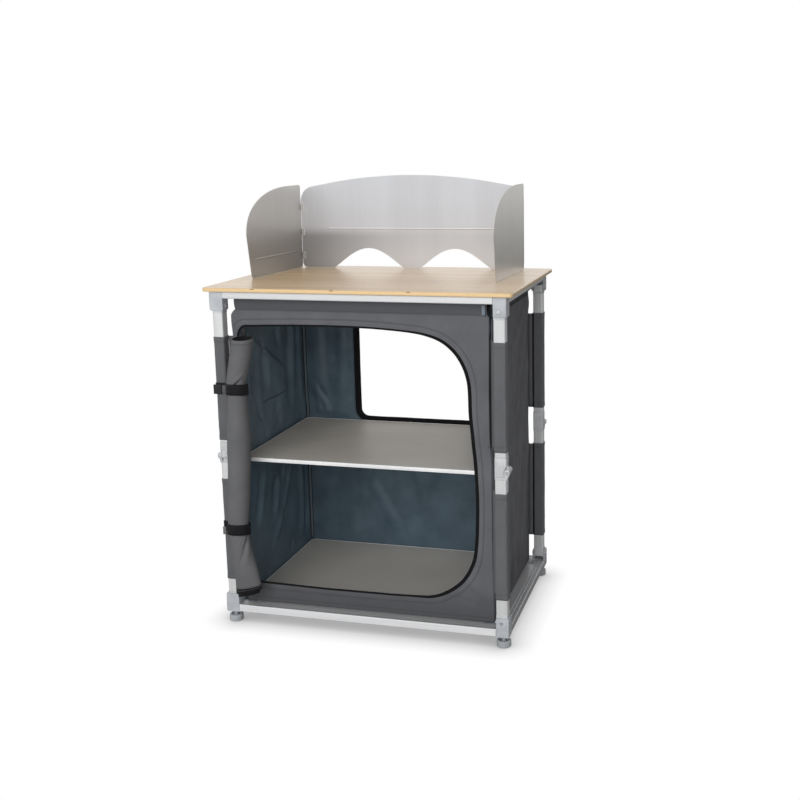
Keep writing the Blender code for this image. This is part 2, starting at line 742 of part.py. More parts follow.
def sleeve_tabs(wall, quarter):
    # Short tabs that tie the wall's ends to the sleeves of the two legs beside it.
    thick = COVER_THICK / 2
    own_end = FRAME_HALF_X - FORK_OUTER - SLEEVE_HALF - TOUCH
    next_end = FRAME_HALF_X - FORK_WIDTH / 2 - TUBE_ALONG / 2 - SLEEVE_SKIN - TOUCH
    for side, end in ((1, own_end), (-1, next_end)):
        x0, x1 = sorted((side * (COVER_HALF_X - thick), side * end))
        for low, high in tab_spans(quarter == 0 and side < 0):
            join_all(wall, box(x0, x1, -COVER_HALF_Y - thick / 2, -COVER_HALF_Y + thick / 2,
                               low + CUT_OVER, high - CUT_OVER))


def cover_wall_mesh(quarter):
    rail_plane = side_sizes(quarter)[1] - RAIL_DEPTH
    if quarter % 2 == 0:
        half_length = COVER_HALF_X + COVER_THICK / 2
        wall = wall_solid(half_length, COVER_HALF_Y, rail_plane, FRONT_BILLOW)
        sleeve_tabs(wall, quarter)
    else:
        half_length = COVER_HALF_Y - COVER_THICK / 2 - TOUCH
        wall = wall_solid(half_length, COVER_HALF_X, rail_plane, SIDE_BILLOW)
        middle_base = MIDDLE_SHELF_TOP - SHELF_THICK - TOUCH
        loop_half = SHELF_HALF_Y - SHELF_LOOP_INSET
        join_all(wall, box(-loop_half, loop_half, -COVER_HALF_X - COVER_THICK / 4,
                           -COVER_HALF_X + COVER_THICK / 2 + SHELF_LOOP_DEPTH,
                           middle_base - COVER_THICK, middle_base))
    reach = COVER_HALF_X
    if quarter == 0:
        cut_all(wall, prism(door_outline(), -reach, 0, "Y"))
    if quarter == 2:
        window = rounded_rectangle(-WINDOW_RIGHT, -WINDOW_LEFT, WINDOW_BOTTOM, WINDOW_TOP,
                                   WINDOW_CORNER)
        cut_all(wall, prism(window, -reach, 0, "Y"))
    return take_mesh(wall)


def floor_mesh():
    x = COVER_HALF_X - COVER_THICK / 2 - TOUCH
    y = COVER_HALF_Y - COVER_THICK / 2 - TOUCH
    return take_mesh(box(-x, x, -y, y, COVER_BASE, COVER_BASE + FLOOR_THICK))


# Rolled door and the two straps that tie it to the front left leg

def roll_ring(beside, half_width, half_depth, grow):
    place = leg_centre(3)[0] + beside
    return [(place + (half_width + grow) * math.cos(math.tau * i / ROLL_SIDES),
             ROLL_Y + (half_depth + grow) * math.sin(math.tau * i / ROLL_SIDES))
            for i in range(ROLL_SIDES)]


def roll_mesh():
    # The bottom ring is skewed along X and the top ring nods forward.
    rings = []
    for height, beside, half_width, half_depth in ROLL_RINGS:
        place = leg_centre(3)[0] + beside
        skew = ROLL_SKEW if height == ROLL_RINGS[0][0] else 0
        nod = ROLL_NOD if height == ROLL_RINGS[-1][0] else 0
        rings.append([(x, y, height + skew * (x - place) / half_width
                       + nod * (y - ROLL_Y) / half_depth)
                      for x, y in roll_ring(beside, half_width, half_depth, 0)])
    return take_mesh(loft(rings))


def strap_mesh(level):
    # One band round the roll and the leg's sleeve, drawn in between them and tilted.
    low = level - STRAP_WIDTH / 2
    high = level + STRAP_WIDTH / 2
    leg_x, leg_y = leg_centre(3)
    beside, half_width, half_depth = [ring[1:] for ring in ROLL_RINGS if ring[0] > level][0]
    place = leg_x + beside
    gap = math.hypot(place - leg_x, ROLL_Y - leg_y)
    across = ((leg_y - ROLL_Y) / gap, (place - leg_x) / gap)
    bodies = []
    for grow in (TOUCH + STRAP_THICK, TOUCH):
        over = 0 if grow > TOUCH else CUT_OVER
        a = TUBE_ALONG / 2 + SLEEVE_SKIN + grow
        b = SLEEVE_HALF + grow
        round_leg = rounded_rectangle(leg_x - a, leg_x + a, leg_y - b, leg_y + b, TUBE_ROUND)
        body = prism(round_leg, low - over, high + over)
        round_roll = roll_ring(beside, half_width, half_depth, grow)
        join_all(body, prism(round_roll, low - over, high + over))
        w = STRAP_WAIST + grow
        waist = [(x + side * w * across[0], y + side * w * across[1])
                 for x, y, side in ((leg_x, leg_y, -1), (place, ROLL_Y, -1),
                                    (place, ROLL_Y, 1), (leg_x, leg_y, 1))]
        join_all(body, prism(waist, low - over, high + over))
        bodies.append(body)
    strap = cut_all(bodies[0], bodies[1])
    strap.data.transform(Matrix(((1, 0, 0, 0), (0, 1, 0, 0),
                                 (0, -STRAP_TILT, 1, STRAP_TILT * leg_y), (0, 0, 0, 1))))
    return take_mesh(strap)


# Windscreen, standing on the worktop

def arch(side):
    # Points of one arch in the back panel's bottom edge, from left to right.
    centre = side * ARCH_PLACE + ARCH_DRIFT
    return [(centre + ARCH_HALF * u,
             ARCH_RISE * max(math.cos(math.pi / 2 * u), 0) ** ARCH_FULLNESS)
            for u in np.linspace(-1, 1, 17)]


def screen_outline():
    end = SCREEN_HINGE_X + STRIP_WIDTH / 2
    points = arc(-end + SCREEN_FOOT_ROUND, SCREEN_FOOT_ROUND, SCREEN_FOOT_ROUND,
                 SCREEN_FOOT_ROUND, 180, 270, 4)
    points += arch(-1) + arch(1)
    points += arc(end - SCREEN_FOOT_ROUND, SCREEN_FOOT_ROUND, SCREEN_FOOT_ROUND,
                  SCREEN_FOOT_ROUND, 270, 360, 4)
    corner = end - SCREEN_SHOULDER_X
    low = SCREEN_SHOULDER - SCREEN_CORNER_DROP
    points += arc(SCREEN_SHOULDER_X, low, corner, SCREEN_CORNER_DROP, 0, 80, 6)
    sag = SCREEN_TOP - SCREEN_SHOULDER
    for x in np.linspace(0.95 * SCREEN_SHOULDER_X, -0.95 * SCREEN_SHOULDER_X, 15):
        points.append((x, SCREEN_TOP - sag * (x / SCREEN_SHOULDER_X) ** 2))
    points += arc(-SCREEN_SHOULDER_X, low, corner, SCREEN_CORNER_DROP, 100, 180, 6)
    return points


def bead(start, stop, level, surface, outward):
    # A pressed rib along X with sloping sides, standing out of the sheet.
    inside = surface - outward * SHEET_THICK / 2
    proud = surface + outward * BEAD_PROUD
    half = BEAD_HALF_WIDTH
    profile = ((inside, level - half), (surface, level - half), (proud, level - half / 3),
               (proud, level + half / 3), (surface, level + half), (inside, level + half))
    return prism(profile, start, stop, "X")


def loop_radii():
    inner = math.hypot(STRIP_WIDTH / 2, SHEET_THICK / 2) + LOOP_PLAY
    return inner, inner + SHEET_THICK


def screen_back_mesh():
    base = WORKTOP_HEIGHT + TOUCH
    half = SHEET_THICK / 2
    outline = [(x, base + z) for x, z in screen_outline()]
    panel = prism(outline, -half, half, "Y")
    join_all(panel, bead(-BACK_BEAD_HALF, BACK_BEAD_HALF, base + BACK_BEAD_Z, -half, -1))
    slot_out = SCREEN_HINGE_X - STRIP_WIDTH / 2
    slot_in = SCREEN_HINGE_X - loop_radii()[1] - SLOT_SPARE / 2
    reach = (LOOP_HEIGHT + SLOT_SPARE) / 2
    for level in LOOP_HEIGHTS:
        for side in (-1, 1):
            x0, x1 = sorted((side * slot_in, side * slot_out))
            cut_all(panel, box(x0, x1, -CUT_OVER, CUT_OVER, base + level - reach,
                               base + level + reach))
    return take_mesh(panel)


def wing_outline():
    # Distance from the hinge towards the wing's front, and height above the worktop.
    crown = [(WING_ROUND - WING_ROUND * math.sin(a), WING_TOP - WING_ROUND * (1 - math.cos(a)))
             for a in np.linspace(math.pi / 2, 0, 5)]
    drop = WING_TOP - WING_BROAD_Z
    reach = WING_LENGTH - WING_FLAT
    for angle in np.linspace(math.pi / 2, 0, 15):
        crown.append((WING_FLAT + reach * math.cos(angle) ** 0.9,
                      WING_BROAD_Z + drop * math.sin(angle) ** 0.9))
    toe = arc(WING_FOOT_LENGTH - WING_ROUND, WING_ROUND, WING_ROUND, WING_ROUND, 0, -90, 4)
    heel = arc(WING_ROUND, WING_ROUND, WING_ROUND, WING_ROUND, 270, 180, 4)
    return crown + toe + heel


def wing_mesh(side):
    # The hinge axis stands at the origin; the wing reaches to minus Y when square.
    base = WORKTOP_HEIGHT + TOUCH
    inner, outer = loop_radii()
    outline = [(-s, base + z) for s, z in wing_outline()]
    x0, x1 = sorted((side * inner, side * outer))
    wing = prism(outline, x0, x1, "X")
    rib = bead(WING_BEAD_START, WING_BEAD_END, base + WING_BEAD_Z, side * inner, -side)
    rib.data.transform(Matrix(((0, 1, 0, 0), (-1, 0, 0, 0), (0, 0, 1, 0), (0, 0, 0, 1))))
    join_all(wing, rib)
    for level in LOOP_HEIGHTS:
        low = base + level - LOOP_HEIGHT / 2
        high = base + level + LOOP_HEIGHT / 2
        circle = [(math.cos(math.tau * (i + 0.5) / BORE_SIDES),
                   math.sin(math.tau * (i + 0.5) / BORE_SIDES)) for i in range(BORE_SIDES)]
        join_all(wing, prism([(outer * x, outer * y) for x, y in circle], low, high))
        cut_all(wing, prism([(inner * x, inner * y) for x, y in circle], low - CUT_OVER,
                            high + CUT_OVER))
    return take_mesh(wing)


# Assembly

def build_base(parts, root):
    corner = bottom_corner_mesh()
    foot = foot_mesh()
    middle = (FORK_OUTER - FORK_INNER) / 2
    for quarter, name in enumerate(CORNERS):
        x, y = leg_centre(quarter)
        name_piece("bottom_corner_" + name, corner, parts["fitting"], root, (x, y, 0), quarter)
        dx, dy = turn_point(middle, 0, quarter)
        axis = add_empty("foot_screw_" + name, (x + dx, y + dy, FORK_BASE), root)
        name_piece("foot_" + name, foot, parts["foot"], axis, (x + dx, y + dy, 0), quarter)
    build_rails(parts, root, "bottom_rail_", BOTTOM_RAIL_Z, BOTTOM_RAIL_HEIGHT, True)
    name_piece("cover_floor", floor_mesh(), parts["cover"], root)
    shelf_base = COVER_BASE + FLOOR_THICK + TOUCH
    shelf = board_mesh(SHELF_HALF_X, SHELF_HALF_Y, shelf_base, SHELF_THICK, SHELF_CORNER,
                       WORKTOP_EDGE)
    name_piece("bottom_shelf", shelf, parts["shelf"], root)


def build_rails(parts, body, prefix, base, height, with_ledge):
    for first, second in ((0, 2), (1, 3)):
        mesh = rail_mesh(first, base, height, with_ledge)
        for quarter in (first, second):
            name_piece(prefix + SIDES[quarter], mesh, parts["rail"], body,
                       quarter=quarter)


def build_legs(parts, root):
    lower_span, upper_span = sleeve_spans()
    meshes = {
        "lower_leg_tube_": (leg_tube_mesh(LOWER_TUBE_TOP, LOW_PIVOT), "bare_tube"),
        "lower_knee_": (lower_knee_mesh(), "fitting"),
        "lower_sleeve_": (sleeve_mesh(*lower_span), "cover"),
        "upper_leg_tube_": (leg_tube_mesh(UPPER_TUBE_BASE, HIGH_PIVOT), "bare_tube"),
        "upper_knee_": (upper_knee_mesh(), "fitting"),
        "upper_sleeve_": (sleeve_mesh(*upper_span), "cover"),
    }
    upper_legs = {}
    for quarter, name in enumerate(CORNERS):
        x, y = leg_centre(quarter)
        knee_x, knee_y = knee_centre(quarter)
        lower = add_empty("lower_pivot_" + name, (x, y, LOW_PIVOT), root)
        upper = add_empty("knee_pivot_" + name, (knee_x, knee_y, KNEE_PIVOT), lower)
        for prefix, (mesh, material) in meshes.items():
            body = lower if prefix.startswith("lower") else upper
            slip = FRONT_LEFT_SLIP if "sleeve" in prefix and quarter == 3 else 0
            name_piece(prefix + name, mesh, parts[material], body, (x, y, -slip), quarter)
        upper_legs[quarter] = upper
    return upper_legs


def build_top(parts, upper_leg):
    x, y = leg_centre(0)
    top = add_empty("top_pivot", (x, y, HIGH_PIVOT), upper_leg)
    corner = top_corner_mesh()
    for quarter, name in enumerate(CORNERS):
        x, y = leg_centre(quarter)
        name_piece("top_corner_" + name, corner, parts["fitting"], top, (x, y, 0), quarter)
    build_rails(parts, top, "top_rail_", TOP_RAIL_Z, TOP_RAIL_HEIGHT, False)
    worktop = board_mesh(WORKTOP_WIDTH / 2, WORKTOP_DEPTH / 2, WORKTOP_BASE, WORKTOP_THICK,
                         WORKTOP_CORNER, WORKTOP_EDGE)
    name_piece("worktop", worktop, parts["bamboo"], top)
    return top


def build_windscreen(parts, top):
    stand = add_empty("windscreen_lift", (0, SCREEN_PLANE_Y, WORKTOP_HEIGHT), top)
    name_piece("windscreen_back", screen_back_mesh(), parts["sheet"], stand,
               (0, SCREEN_PLANE_Y, 0))
    for name, side, turn in (("left", -1, LEFT_WING_TURN), ("right", 1, RIGHT_WING_TURN)):
        place = (side * SCREEN_HINGE_X, SCREEN_PLANE_Y, 0)
        hinge = add_empty("wing_hinge_" + name, place, stand)
        name_piece("windscreen_" + name, wing_mesh(side), parts["sheet"], hinge, place,
                   turn=turn)


def build_cover(parts, root):
    for quarter, name in enumerate(SIDES):
        name_piece("cover_" + name, cover_wall_mesh(quarter), parts["cover"], root,
                   quarter=quarter)
    name_piece("door_roll", roll_mesh(), parts["cover"], root)
    name_piece("door_strap_upper", strap_mesh(UPPER_STRAP_Z), parts["webbing"], root)
    name_piece("door_strap_lower", strap_mesh(LOWER_STRAP_Z), parts["webbing"], root)


def build_middle_shelf(parts, root):
    base = MIDDLE_SHELF_TOP - SHELF_THICK
    slide = add_empty("middle_shelf_slide", (0, 0, base), root)
    shelf = board_mesh(SHELF_HALF_X, SHELF_HALF_Y, base, SHELF_THICK, SHELF_CORNER,
                       WORKTOP_EDGE)
    name_piece("middle_shelf", shelf, parts["shelf"], slide)


def main():
    clear_scene()
    parts = make_materials()
    root = add_empty("bottom_frame", (0, 0, 0))
    build_base(parts, root)
    upper_legs = build_legs(parts, root)
    top = build_top(parts, upper_legs[0])
    build_windscreen(parts, top)
    build_cover(parts, root)
    build_middle_shelf(parts, root)
    bpy.context.view_layer.update()


main()
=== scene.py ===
# Camp kitchen with its door rolled up: finishes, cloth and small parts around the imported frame.

import math

import bmesh
import bpy
import numpy as np
from mathutils import Matrix, Vector, noise


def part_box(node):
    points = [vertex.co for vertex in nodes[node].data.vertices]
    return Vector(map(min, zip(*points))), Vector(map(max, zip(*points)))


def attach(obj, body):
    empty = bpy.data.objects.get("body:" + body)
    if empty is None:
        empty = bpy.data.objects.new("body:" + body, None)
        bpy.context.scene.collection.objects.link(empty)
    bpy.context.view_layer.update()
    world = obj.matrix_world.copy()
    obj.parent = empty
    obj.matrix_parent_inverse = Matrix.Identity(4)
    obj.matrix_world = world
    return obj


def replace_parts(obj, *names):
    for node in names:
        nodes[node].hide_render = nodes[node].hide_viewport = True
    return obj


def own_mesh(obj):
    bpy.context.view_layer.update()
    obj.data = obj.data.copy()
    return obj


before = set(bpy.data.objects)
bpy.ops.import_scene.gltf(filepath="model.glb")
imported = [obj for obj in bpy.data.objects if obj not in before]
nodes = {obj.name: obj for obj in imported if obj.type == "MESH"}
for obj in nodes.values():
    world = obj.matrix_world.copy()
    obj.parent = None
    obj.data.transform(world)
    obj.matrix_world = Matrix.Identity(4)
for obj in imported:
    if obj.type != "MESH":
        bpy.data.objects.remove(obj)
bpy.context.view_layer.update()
corners = ("front_right", "rear_right", "rear_left", "front_left")
boardLow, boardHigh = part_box("worktop")
midY = (boardLow.y + boardHigh.y) / 2  # the worktop's middle, from which places in Y are counted
print("frame loaded,", len(nodes), "nodes")


def camel(words):
    # top_rail_front becomes topRailFront
    first, *others = words.split("_")
    return first + "".join(word.capitalize() for word in others)


# Node helpers: what they take is a plain value or a socket, and a socket knows its tree

def feed(socket, value):
    if isinstance(value, bpy.types.NodeSocket):
        socket.id_data.links.new(value, socket)
    elif socket.type == "RGBA":
        socket.default_value = (*value, 1)
    else:
        socket.default_value = value


def newNode(tree, kind, **inputs):
    # an input's name has _ for a space
    node = tree.nodes.new("ShaderNode" + kind)
    for label, value in inputs.items():
        feed(node.inputs[label.replace("_", " ")], value)
    return node


def compute(operation, *values):
    tree = next(value.id_data for value in values if isinstance(value, bpy.types.NodeSocket))
    node = newNode(tree, "Math")
    node.operation = operation
    for socket, value in zip(node.inputs, values):
        feed(socket, value)
    return node.outputs[0]


def times(a, b):
    return compute("MULTIPLY", a, b)


def apart(a, b):
    return compute("ABSOLUTE", compute("SUBTRACT", a, b))


def weighed(a, shareA, b, shareB):
    return compute("MULTIPLY_ADD", a, shareA, times(b, shareB))


def spread(value, low, high, newLow=0.0, newHigh=1.0):
    node = newNode(value.id_data, "MapRange", Value=value, From_Min=low, From_Max=high,
                   To_Min=newLow, To_Max=newHigh)
    node.interpolation_type = "SMOOTHSTEP"
    return node.outputs["Result"]


def within(value, low, high):
    # 1 below low, 0 above high
    return spread(value, low, high, 1.0, 0.0)


def noisy(vector, scale, detail=2.0, rough=0.5):
    return newNode(vector.id_data, "TexNoise", Vector=vector, Scale=scale, Detail=detail,
                   Roughness=rough).outputs["Fac"]


def stretched(vector, scale):
    return newNode(vector.id_data, "Mapping", Vector=vector, Scale=scale).outputs["Vector"]


def split(vector):
    return newNode(vector.id_data, "SeparateXYZ", Vector=vector).outputs


def tinted(factor, dark, light):
    node = newNode(factor.id_data, "Mix")
    node.data_type = "RGBA"
    for label, value in (("Factor", factor), ("A", dark), ("B", light)):
        feed(node.inputs[label], value)
    return node.outputs["Result"]


def scaled(colour, share):
    return tuple(min(c * share, 1) for c in colour)


def newMaterial(name, **numbers):
    # numbers are plain values of the shader's sockets, with _ for a space
    material = bpy.data.materials.new(name)
    material.use_nodes = True
    shader = material.node_tree.nodes["Principled BSDF"]
    for label, value in numbers.items():
        feed(shader.inputs[label.replace("_", " ")], value)
    return material, material.node_tree, shader


# Camera and light

photo = {
    "place": (0.844, -2.4805, 1.112),  # from the worktop's middle on the floor
    "turn": 0.2574, "dip": 0.1878, "lean": -0.0155,  # radians
    "lens": 49.5, "sensor": 36.0,
    "shiftX": -0.0806, "shiftY": -0.0569,
}


def makeCamera():
    turn, dip, lean = photo["turn"], photo["dip"], photo["lean"]
    ahead = Vector((-math.sin(turn) * math.cos(dip), math.cos(turn) * math.cos(dip), -math.sin(dip)))
    level = Vector((math.cos(turn), math.sin(turn), 0))
    right = math.cos(lean) * level + math.sin(lean) * level.cross(ahead)
    data = bpy.data.cameras.new("photoCamera")
    data.lens, data.sensor_width = photo["lens"], photo["sensor"]
    data.shift_x, data.shift_y = photo["shiftX"], photo["shiftY"]
    camera = bpy.data.objects.new("photoCamera", data)
    bpy.context.scene.collection.objects.link(camera)
    x, y, z = photo["place"]
    turned = Matrix((right, right.cross(ahead), -ahead)).transposed().to_4x4()
    camera.matrix_world = Matrix.Translation((x, y + midY, z)) @ turned
    bpy.context.scene.camera = camera


studio = {
    "world": 0.27,
    "lamps": {  # place, size in metres, watts
        "key": ((-0.1, -4.3, 1.6), 4.4, 195),
        "top": ((0.0, 0.2, 3.4), 2.6, 22),
    },
    "lookAt": (0, 0, 0.5),
    "floorSize": 30, "floorTone": 0.45,
    "shadeReach": 0.068, "shadeDepth": 1.1, "darkest": 0.14,  # metres, and how dark the shade gets
}


def addLamp(name, place, size, power):
    data = bpy.data.lights.new(name, "AREA")
    data.shape, data.size, data.energy = "SQUARE", size, power
    lamp = bpy.data.objects.new(name, data)
    bpy.context.scene.collection.objects.link(lamp)
    lamp.location = place
    aim = Vector(studio["lookAt"]) - Vector(place)
    lamp.rotation_mode = "QUATERNION"
    lamp.rotation_quaternion = aim.to_track_quat("-Z", "Y")
    lamp.visible_glossy = False  # the metal mirrors the plain white room


def makeWorld():
    world = bpy.data.worlds.new("paleStudio")
    bpy.context.scene.world = world
    world.use_nodes = True
    back = world.node_tree.nodes["Background"]
    feed(back.inputs["Color"], (1, 1, 1))
    seen = newNode(world.node_tree, "LightPath").outputs
    white = compute("MAXIMUM", seen["Is Camera Ray"], seen["Is Glossy Ray"])
    white = compute("MAXIMUM", white, seen["Is Transmission Ray"])
    strength = newNode(world.node_tree, "MapRange", Value=white, To_Min=studio["world"])
    feed(back.inputs["Strength"], strength.outputs["Result"])


def makeFloor():
    # White paper: the camera sees only the soft shade under and around the object
    bpy.ops.mesh.primitive_plane_add(size=studio["floorSize"], location=(0, 0, 0))
    floor = bpy.context.active_object
    floor.name = "studioFloor"
    paper, tree, shader = newMaterial("floorPaper", Roughness=0.9, Specular_IOR_Level=0.0,
                                      Base_Color=(studio["floorTone"],) * 3)
    openSky = newNode(tree, "AmbientOcclusion", Distance=studio["shadeReach"])
    openSky.samples = 24
    depth = compute("POWER", openSky.outputs["AO"], studio["shadeDepth"])
    tone = newNode(tree, "MapRange", Value=depth, To_Min=studio["darkest"]).outputs["Result"]
    white = newNode(tree, "Emission", Strength=tone)
    seen = newNode(tree, "LightPath").outputs
    mixed = newNode(tree, "MixShader", Fac=seen["Is Camera Ray"])
    feed(mixed.inputs[1], shader.outputs[0])
    feed(mixed.inputs[2], white.outputs[0])
    feed(tree.nodes["Material Output"].inputs["Surface"], mixed.outputs[0])
    floor.data.materials.append(paper)


bpy.context.scene.view_settings.view_transform = "Standard"
bpy.ops.object.select_all(action="DESELECT")
makeCamera()
makeWorld()
makeFloor()
for lampName, facts in studio["lamps"].items():
    addLamp(lampName + "Lamp", *facts)
print("studio ready")


# Shader groups shared by the finishes

def newGroup(name, takes, gives):
    # takes: {input: its value, or None for a vector}, gives: names of the outputs
    group = bpy.data.node_groups.new(name, "ShaderNodeTree")
    for label, value in takes.items():
        kind = "NodeSocketVector" if value is None else "NodeSocketFloat"
        socket = group.interface.new_socket(label, in_out="INPUT", socket_type=kind)
        if value is not None:
            socket.default_value = value
    for label in gives:
        group.interface.new_socket(label, in_out="OUTPUT", socket_type="NodeSocketFloat")
    return group.nodes.new("NodeGroupInput").outputs, group.nodes.new("NodeGroupOutput").inputs


def weaveGroup():
    # A plain weave of yarns, with slubs: the height of the yarns and a mottled tone
    takes, gives = newGroup("plainWeave", {"Vector": None, "Pitch": 0.001}, ("Height", "Tone"))
    vector = takes["Vector"]
    place = split(vector)
    rate = compute("DIVIDE", math.tau, takes["Pitch"])
    across, along = [compute("SINE", times(place[axis], rate)) for axis in "XY"]
    over = compute("MULTIPLY_ADD", times(across, along), 0.5, 0.5)
    slubs = [noisy(stretched(vector, stretch), 900) for stretch in ((1, 0.25, 1), (0.25, 1, 1))]
    mottle = times(compute("ADD", *slubs), 0.5)
    feed(gives["Height"], over)
    feed(gives["Tone"], weighed(over, 0.35, mottle, 0.65))


def stitchGroup():
    # A row of lock stitches in a pressed groove: distance from the row, and place along it
    takes, gives = newGroup("stitchRow", {"Distance": 1.0, "Along": 0.0, "Pitch": 0.004, "Width": 0.0012},
                            ("Thread", "Groove"))
    off = compute("DIVIDE", compute("ABSOLUTE", takes["Distance"]), takes["Width"])
    beat = compute("FRACT", compute("DIVIDE", takes["Along"], takes["Pitch"]))
    dash = within(apart(beat, 0.5), 0.32, 0.40)
    feed(gives["Thread"], times(dash, within(off, 0.25, 0.5)))
    feed(gives["Groove"], within(off, 0.4, 2.2))


def brushedGroup():
    # Fine scratches along one direction, with soft broad bands
    takes, gives = newGroup("brushedMetal", {"Vector": None, "Scale": 300.0}, ("Lines", "Bands"))
    feed(gives["Lines"], noisy(takes["Vector"], takes["Scale"], 4, 0.65))
    feed(gives["Bands"], noisy(takes["Vector"], times(takes["Scale"], 0.05), 3))


def grainGroup():
    # Laminated bamboo: strips side by side, fibres along them and the culm's dark joints
    takes, gives = newGroup("bambooGrain", {"Vector": None, "Strip": 0.02, "Length": 0.31},
                            ("Tone", "Fibre", "Joint"))
    vector = takes["Vector"]
    place = split(vector)
    row = compute("FLOOR", compute("DIVIDE", place["Y"], takes["Strip"]))
    chance = newNode(vector.id_data, "TexWhiteNoise")
    chance.noise_dimensions = "1D"
    feed(chance.inputs["W"], row)
    chance = chance.outputs["Value"]
    slow = noisy(stretched(vector, (1.0, 14.0, 14.0)), 3)
    shifted = compute("ADD", place["X"], times(chance, takes["Length"]))
    reach = compute("FRACT", compute("DIVIDE", shifted, takes["Length"]))
    feed(gives["Tone"], weighed(chance, 0.45, slow, 0.55))
    feed(gives["Fibre"], noisy(stretched(vector, (2.0, 110.0, 110.0)), 7, 4, 0.6))
    feed(gives["Joint"], within(apart(reach, 0.5), 0.002, 0.009))


for makeGroup in (weaveGroup, stitchGroup, brushedGroup, grainGroup):
    makeGroup()


def placeGroup(tree, name, **inputs):
    node = newNode(tree, "Group")
    node.node_tree = bpy.data.node_groups[name]
    for label, value in inputs.items():
        feed(node.inputs[label], value)
    return node.outputs


def objectPlace(tree):
    return newNode(tree, "TexCoord").outputs["Object"]


def clothPlace(tree):
    node = newNode(tree, "UVMap")
    node.uv_map = "cloth"
    return node.outputs[0]


def readAttribute(tree, name):
    node = newNode(tree, "Attribute")
    node.attribute_name = name
    return node.outputs["Fac"]


def finishShader(shader, colour, rough, height, strength, depth=0.0001):
    # height, strength and depth are those of the bump
    bump = newNode(shader.id_data, "Bump", Strength=strength, Distance=depth, Height=height)
    for label, value in (("Base Color", colour), ("Roughness", rough), ("Normal", bump.outputs["Normal"])):
        feed(shader.inputs[label], value)


# Metal, plastic and board finishes

def metalFinish(name, colour, along, rough, metallic, contrast=0.12, shadedTop=None, paintedReflection=None,
                paintedReflectionFrom=(0.882, 0.914), paintedReflectionSide=(-0.26, 0.06)):
    # along: the stretch that lays the fine lines along the extrusion, shadedTop: the tone of painted shade on
    # faces that look up, paintedReflection: the tone of a painted dark reflection low on the left; it fades out
    # over paintedReflectionFrom's heights and, towards the right, over paintedReflectionSide's places in X
    material, tree, shader = newMaterial(name, Metallic=metallic)
    brushed = placeGroup(tree, "brushedMetal", Vector=stretched(objectPlace(tree), along), Scale=260.0)
    body = tinted(spread(weighed(brushed["Bands"], 0.6, brushed["Lines"], 0.4), 0.3, 0.7),
                  scaled(colour, 1 - contrast), scaled(colour, 1 + contrast * 0.5))
    if shadedTop:
        # faces that look up are painted darker: painted shade
        facing = split(newNode(tree, "TexCoord").outputs["Normal"])
        body = tinted(spread(facing["Z"], 0.5, 0.8), body, scaled(colour, shadedTop))
    # low on the left the sheet is painted darker: a painted dark reflection
    if paintedReflection:
        place = split(objectPlace(tree))
        left = spread(place["X"], *paintedReflectionSide, 1.0, 0.15)
        body = tinted(times(within(place["Z"], *paintedReflectionFrom), left), body, scaled(colour, paintedReflection))
    rough = spread(brushed["Lines"], 0.3, 0.7, rough - 0.05, rough + 0.07)
    finishShader(shader, body, rough, brushed["Lines"], 0.25)
    return material


def plasticFinish(name, colour, rough):
    # A moulding with a fine spark-eroded skin
    material, tree, shader = newMaterial(name, Specular_IOR_Level=0.45)
    place = objectPlace(tree)
    skin = noisy(place, 1600)
    body = tinted(spread(noisy(place, 30), 0.3, 0.7), scaled(colour, 0.90), scaled(colour, 1.06))
    finishShader(shader, body, spread(skin, 0.3, 0.7, rough - 0.06, rough + 0.06), skin, 0.3)
    return material


board = {
    "strip": 0.021, "tones": ((0.58, 0.375, 0.172), (0.69, 0.475, 0.245)),
    "fibre": (0.44, 0.27, 0.12), "joint": (0.34, 0.20, 0.085),
    "sawn": (0.86, 0.62, 0.33), "paleSidesFrom": (0.0020, 0.0008),  # the paler edges, below the top face
    "knots": (-0.235, -0.046, 0.131), "knotZ": 0.8035, "knot": (0.12, 0.05, 0.02),  # on the front edge
}


def bambooFinish():
    material, tree, shader = newMaterial("bambooBoard", Coat_Weight=0.85, Coat_Roughness=0.25)
    place = split(objectPlace(tree))
    grain = placeGroup(tree, "bambooGrain", Vector=objectPlace(tree), Strip=board["strip"])
    body = tinted(spread(grain["Tone"], 0.2, 0.8), *board["tones"])
    body = tinted(times(spread(grain["Fibre"], 0.45, 0.75), 0.45), body, board["fibre"])
    body = tinted(times(grain["Joint"], 0.35), body, board["joint"])
    # the sides below the top face are painted paler
    start, end = [boardHigh.z - drop for drop in board["paleSidesFrom"]]
    body = tinted(spread(place["Z"], start, end, 0.75, 0.0), body, board["sawn"])
    spots = [within(apart(place["X"], x), 0.002, 0.007) for x in board["knots"]]
    spot = compute("MAXIMUM", compute("MAXIMUM", spots[0], spots[1]), spots[2])
    onFront = within(place["Y"], boardLow.y + 0.0004, boardLow.y + 0.0016)
    knot = times(spot, times(onFront, within(apart(place["Z"], board["knotZ"]), 0.0006, 0.0018)))
    body = tinted(times(knot, 0.75), body, board["knot"])
    finishShader(shader, body, spread(grain["Fibre"], 0.3, 0.7, 0.34, 0.46), grain["Fibre"], 0.2)
    return material


def shelfFinish():
    # Greige laminate with a very fine grain and a soft cloud in its tone
    material, tree, shader = newMaterial("shelfBoard", Specular_IOR_Level=0.4)
    place = objectPlace(tree)
    fine = noisy(stretched(place, (0.4, 1, 1)), 1400, 3)
    tone = spread(weighed(fine, 0.55, noisy(place, 6), 0.45), 0.3, 0.7)
    body = tinted(tone, (0.50, 0.475, 0.437), (0.60, 0.573, 0.53))
    finishShader(shader, body, spread(fine, 0.3, 0.7, 0.40, 0.52), fine, 0.15)
    return material


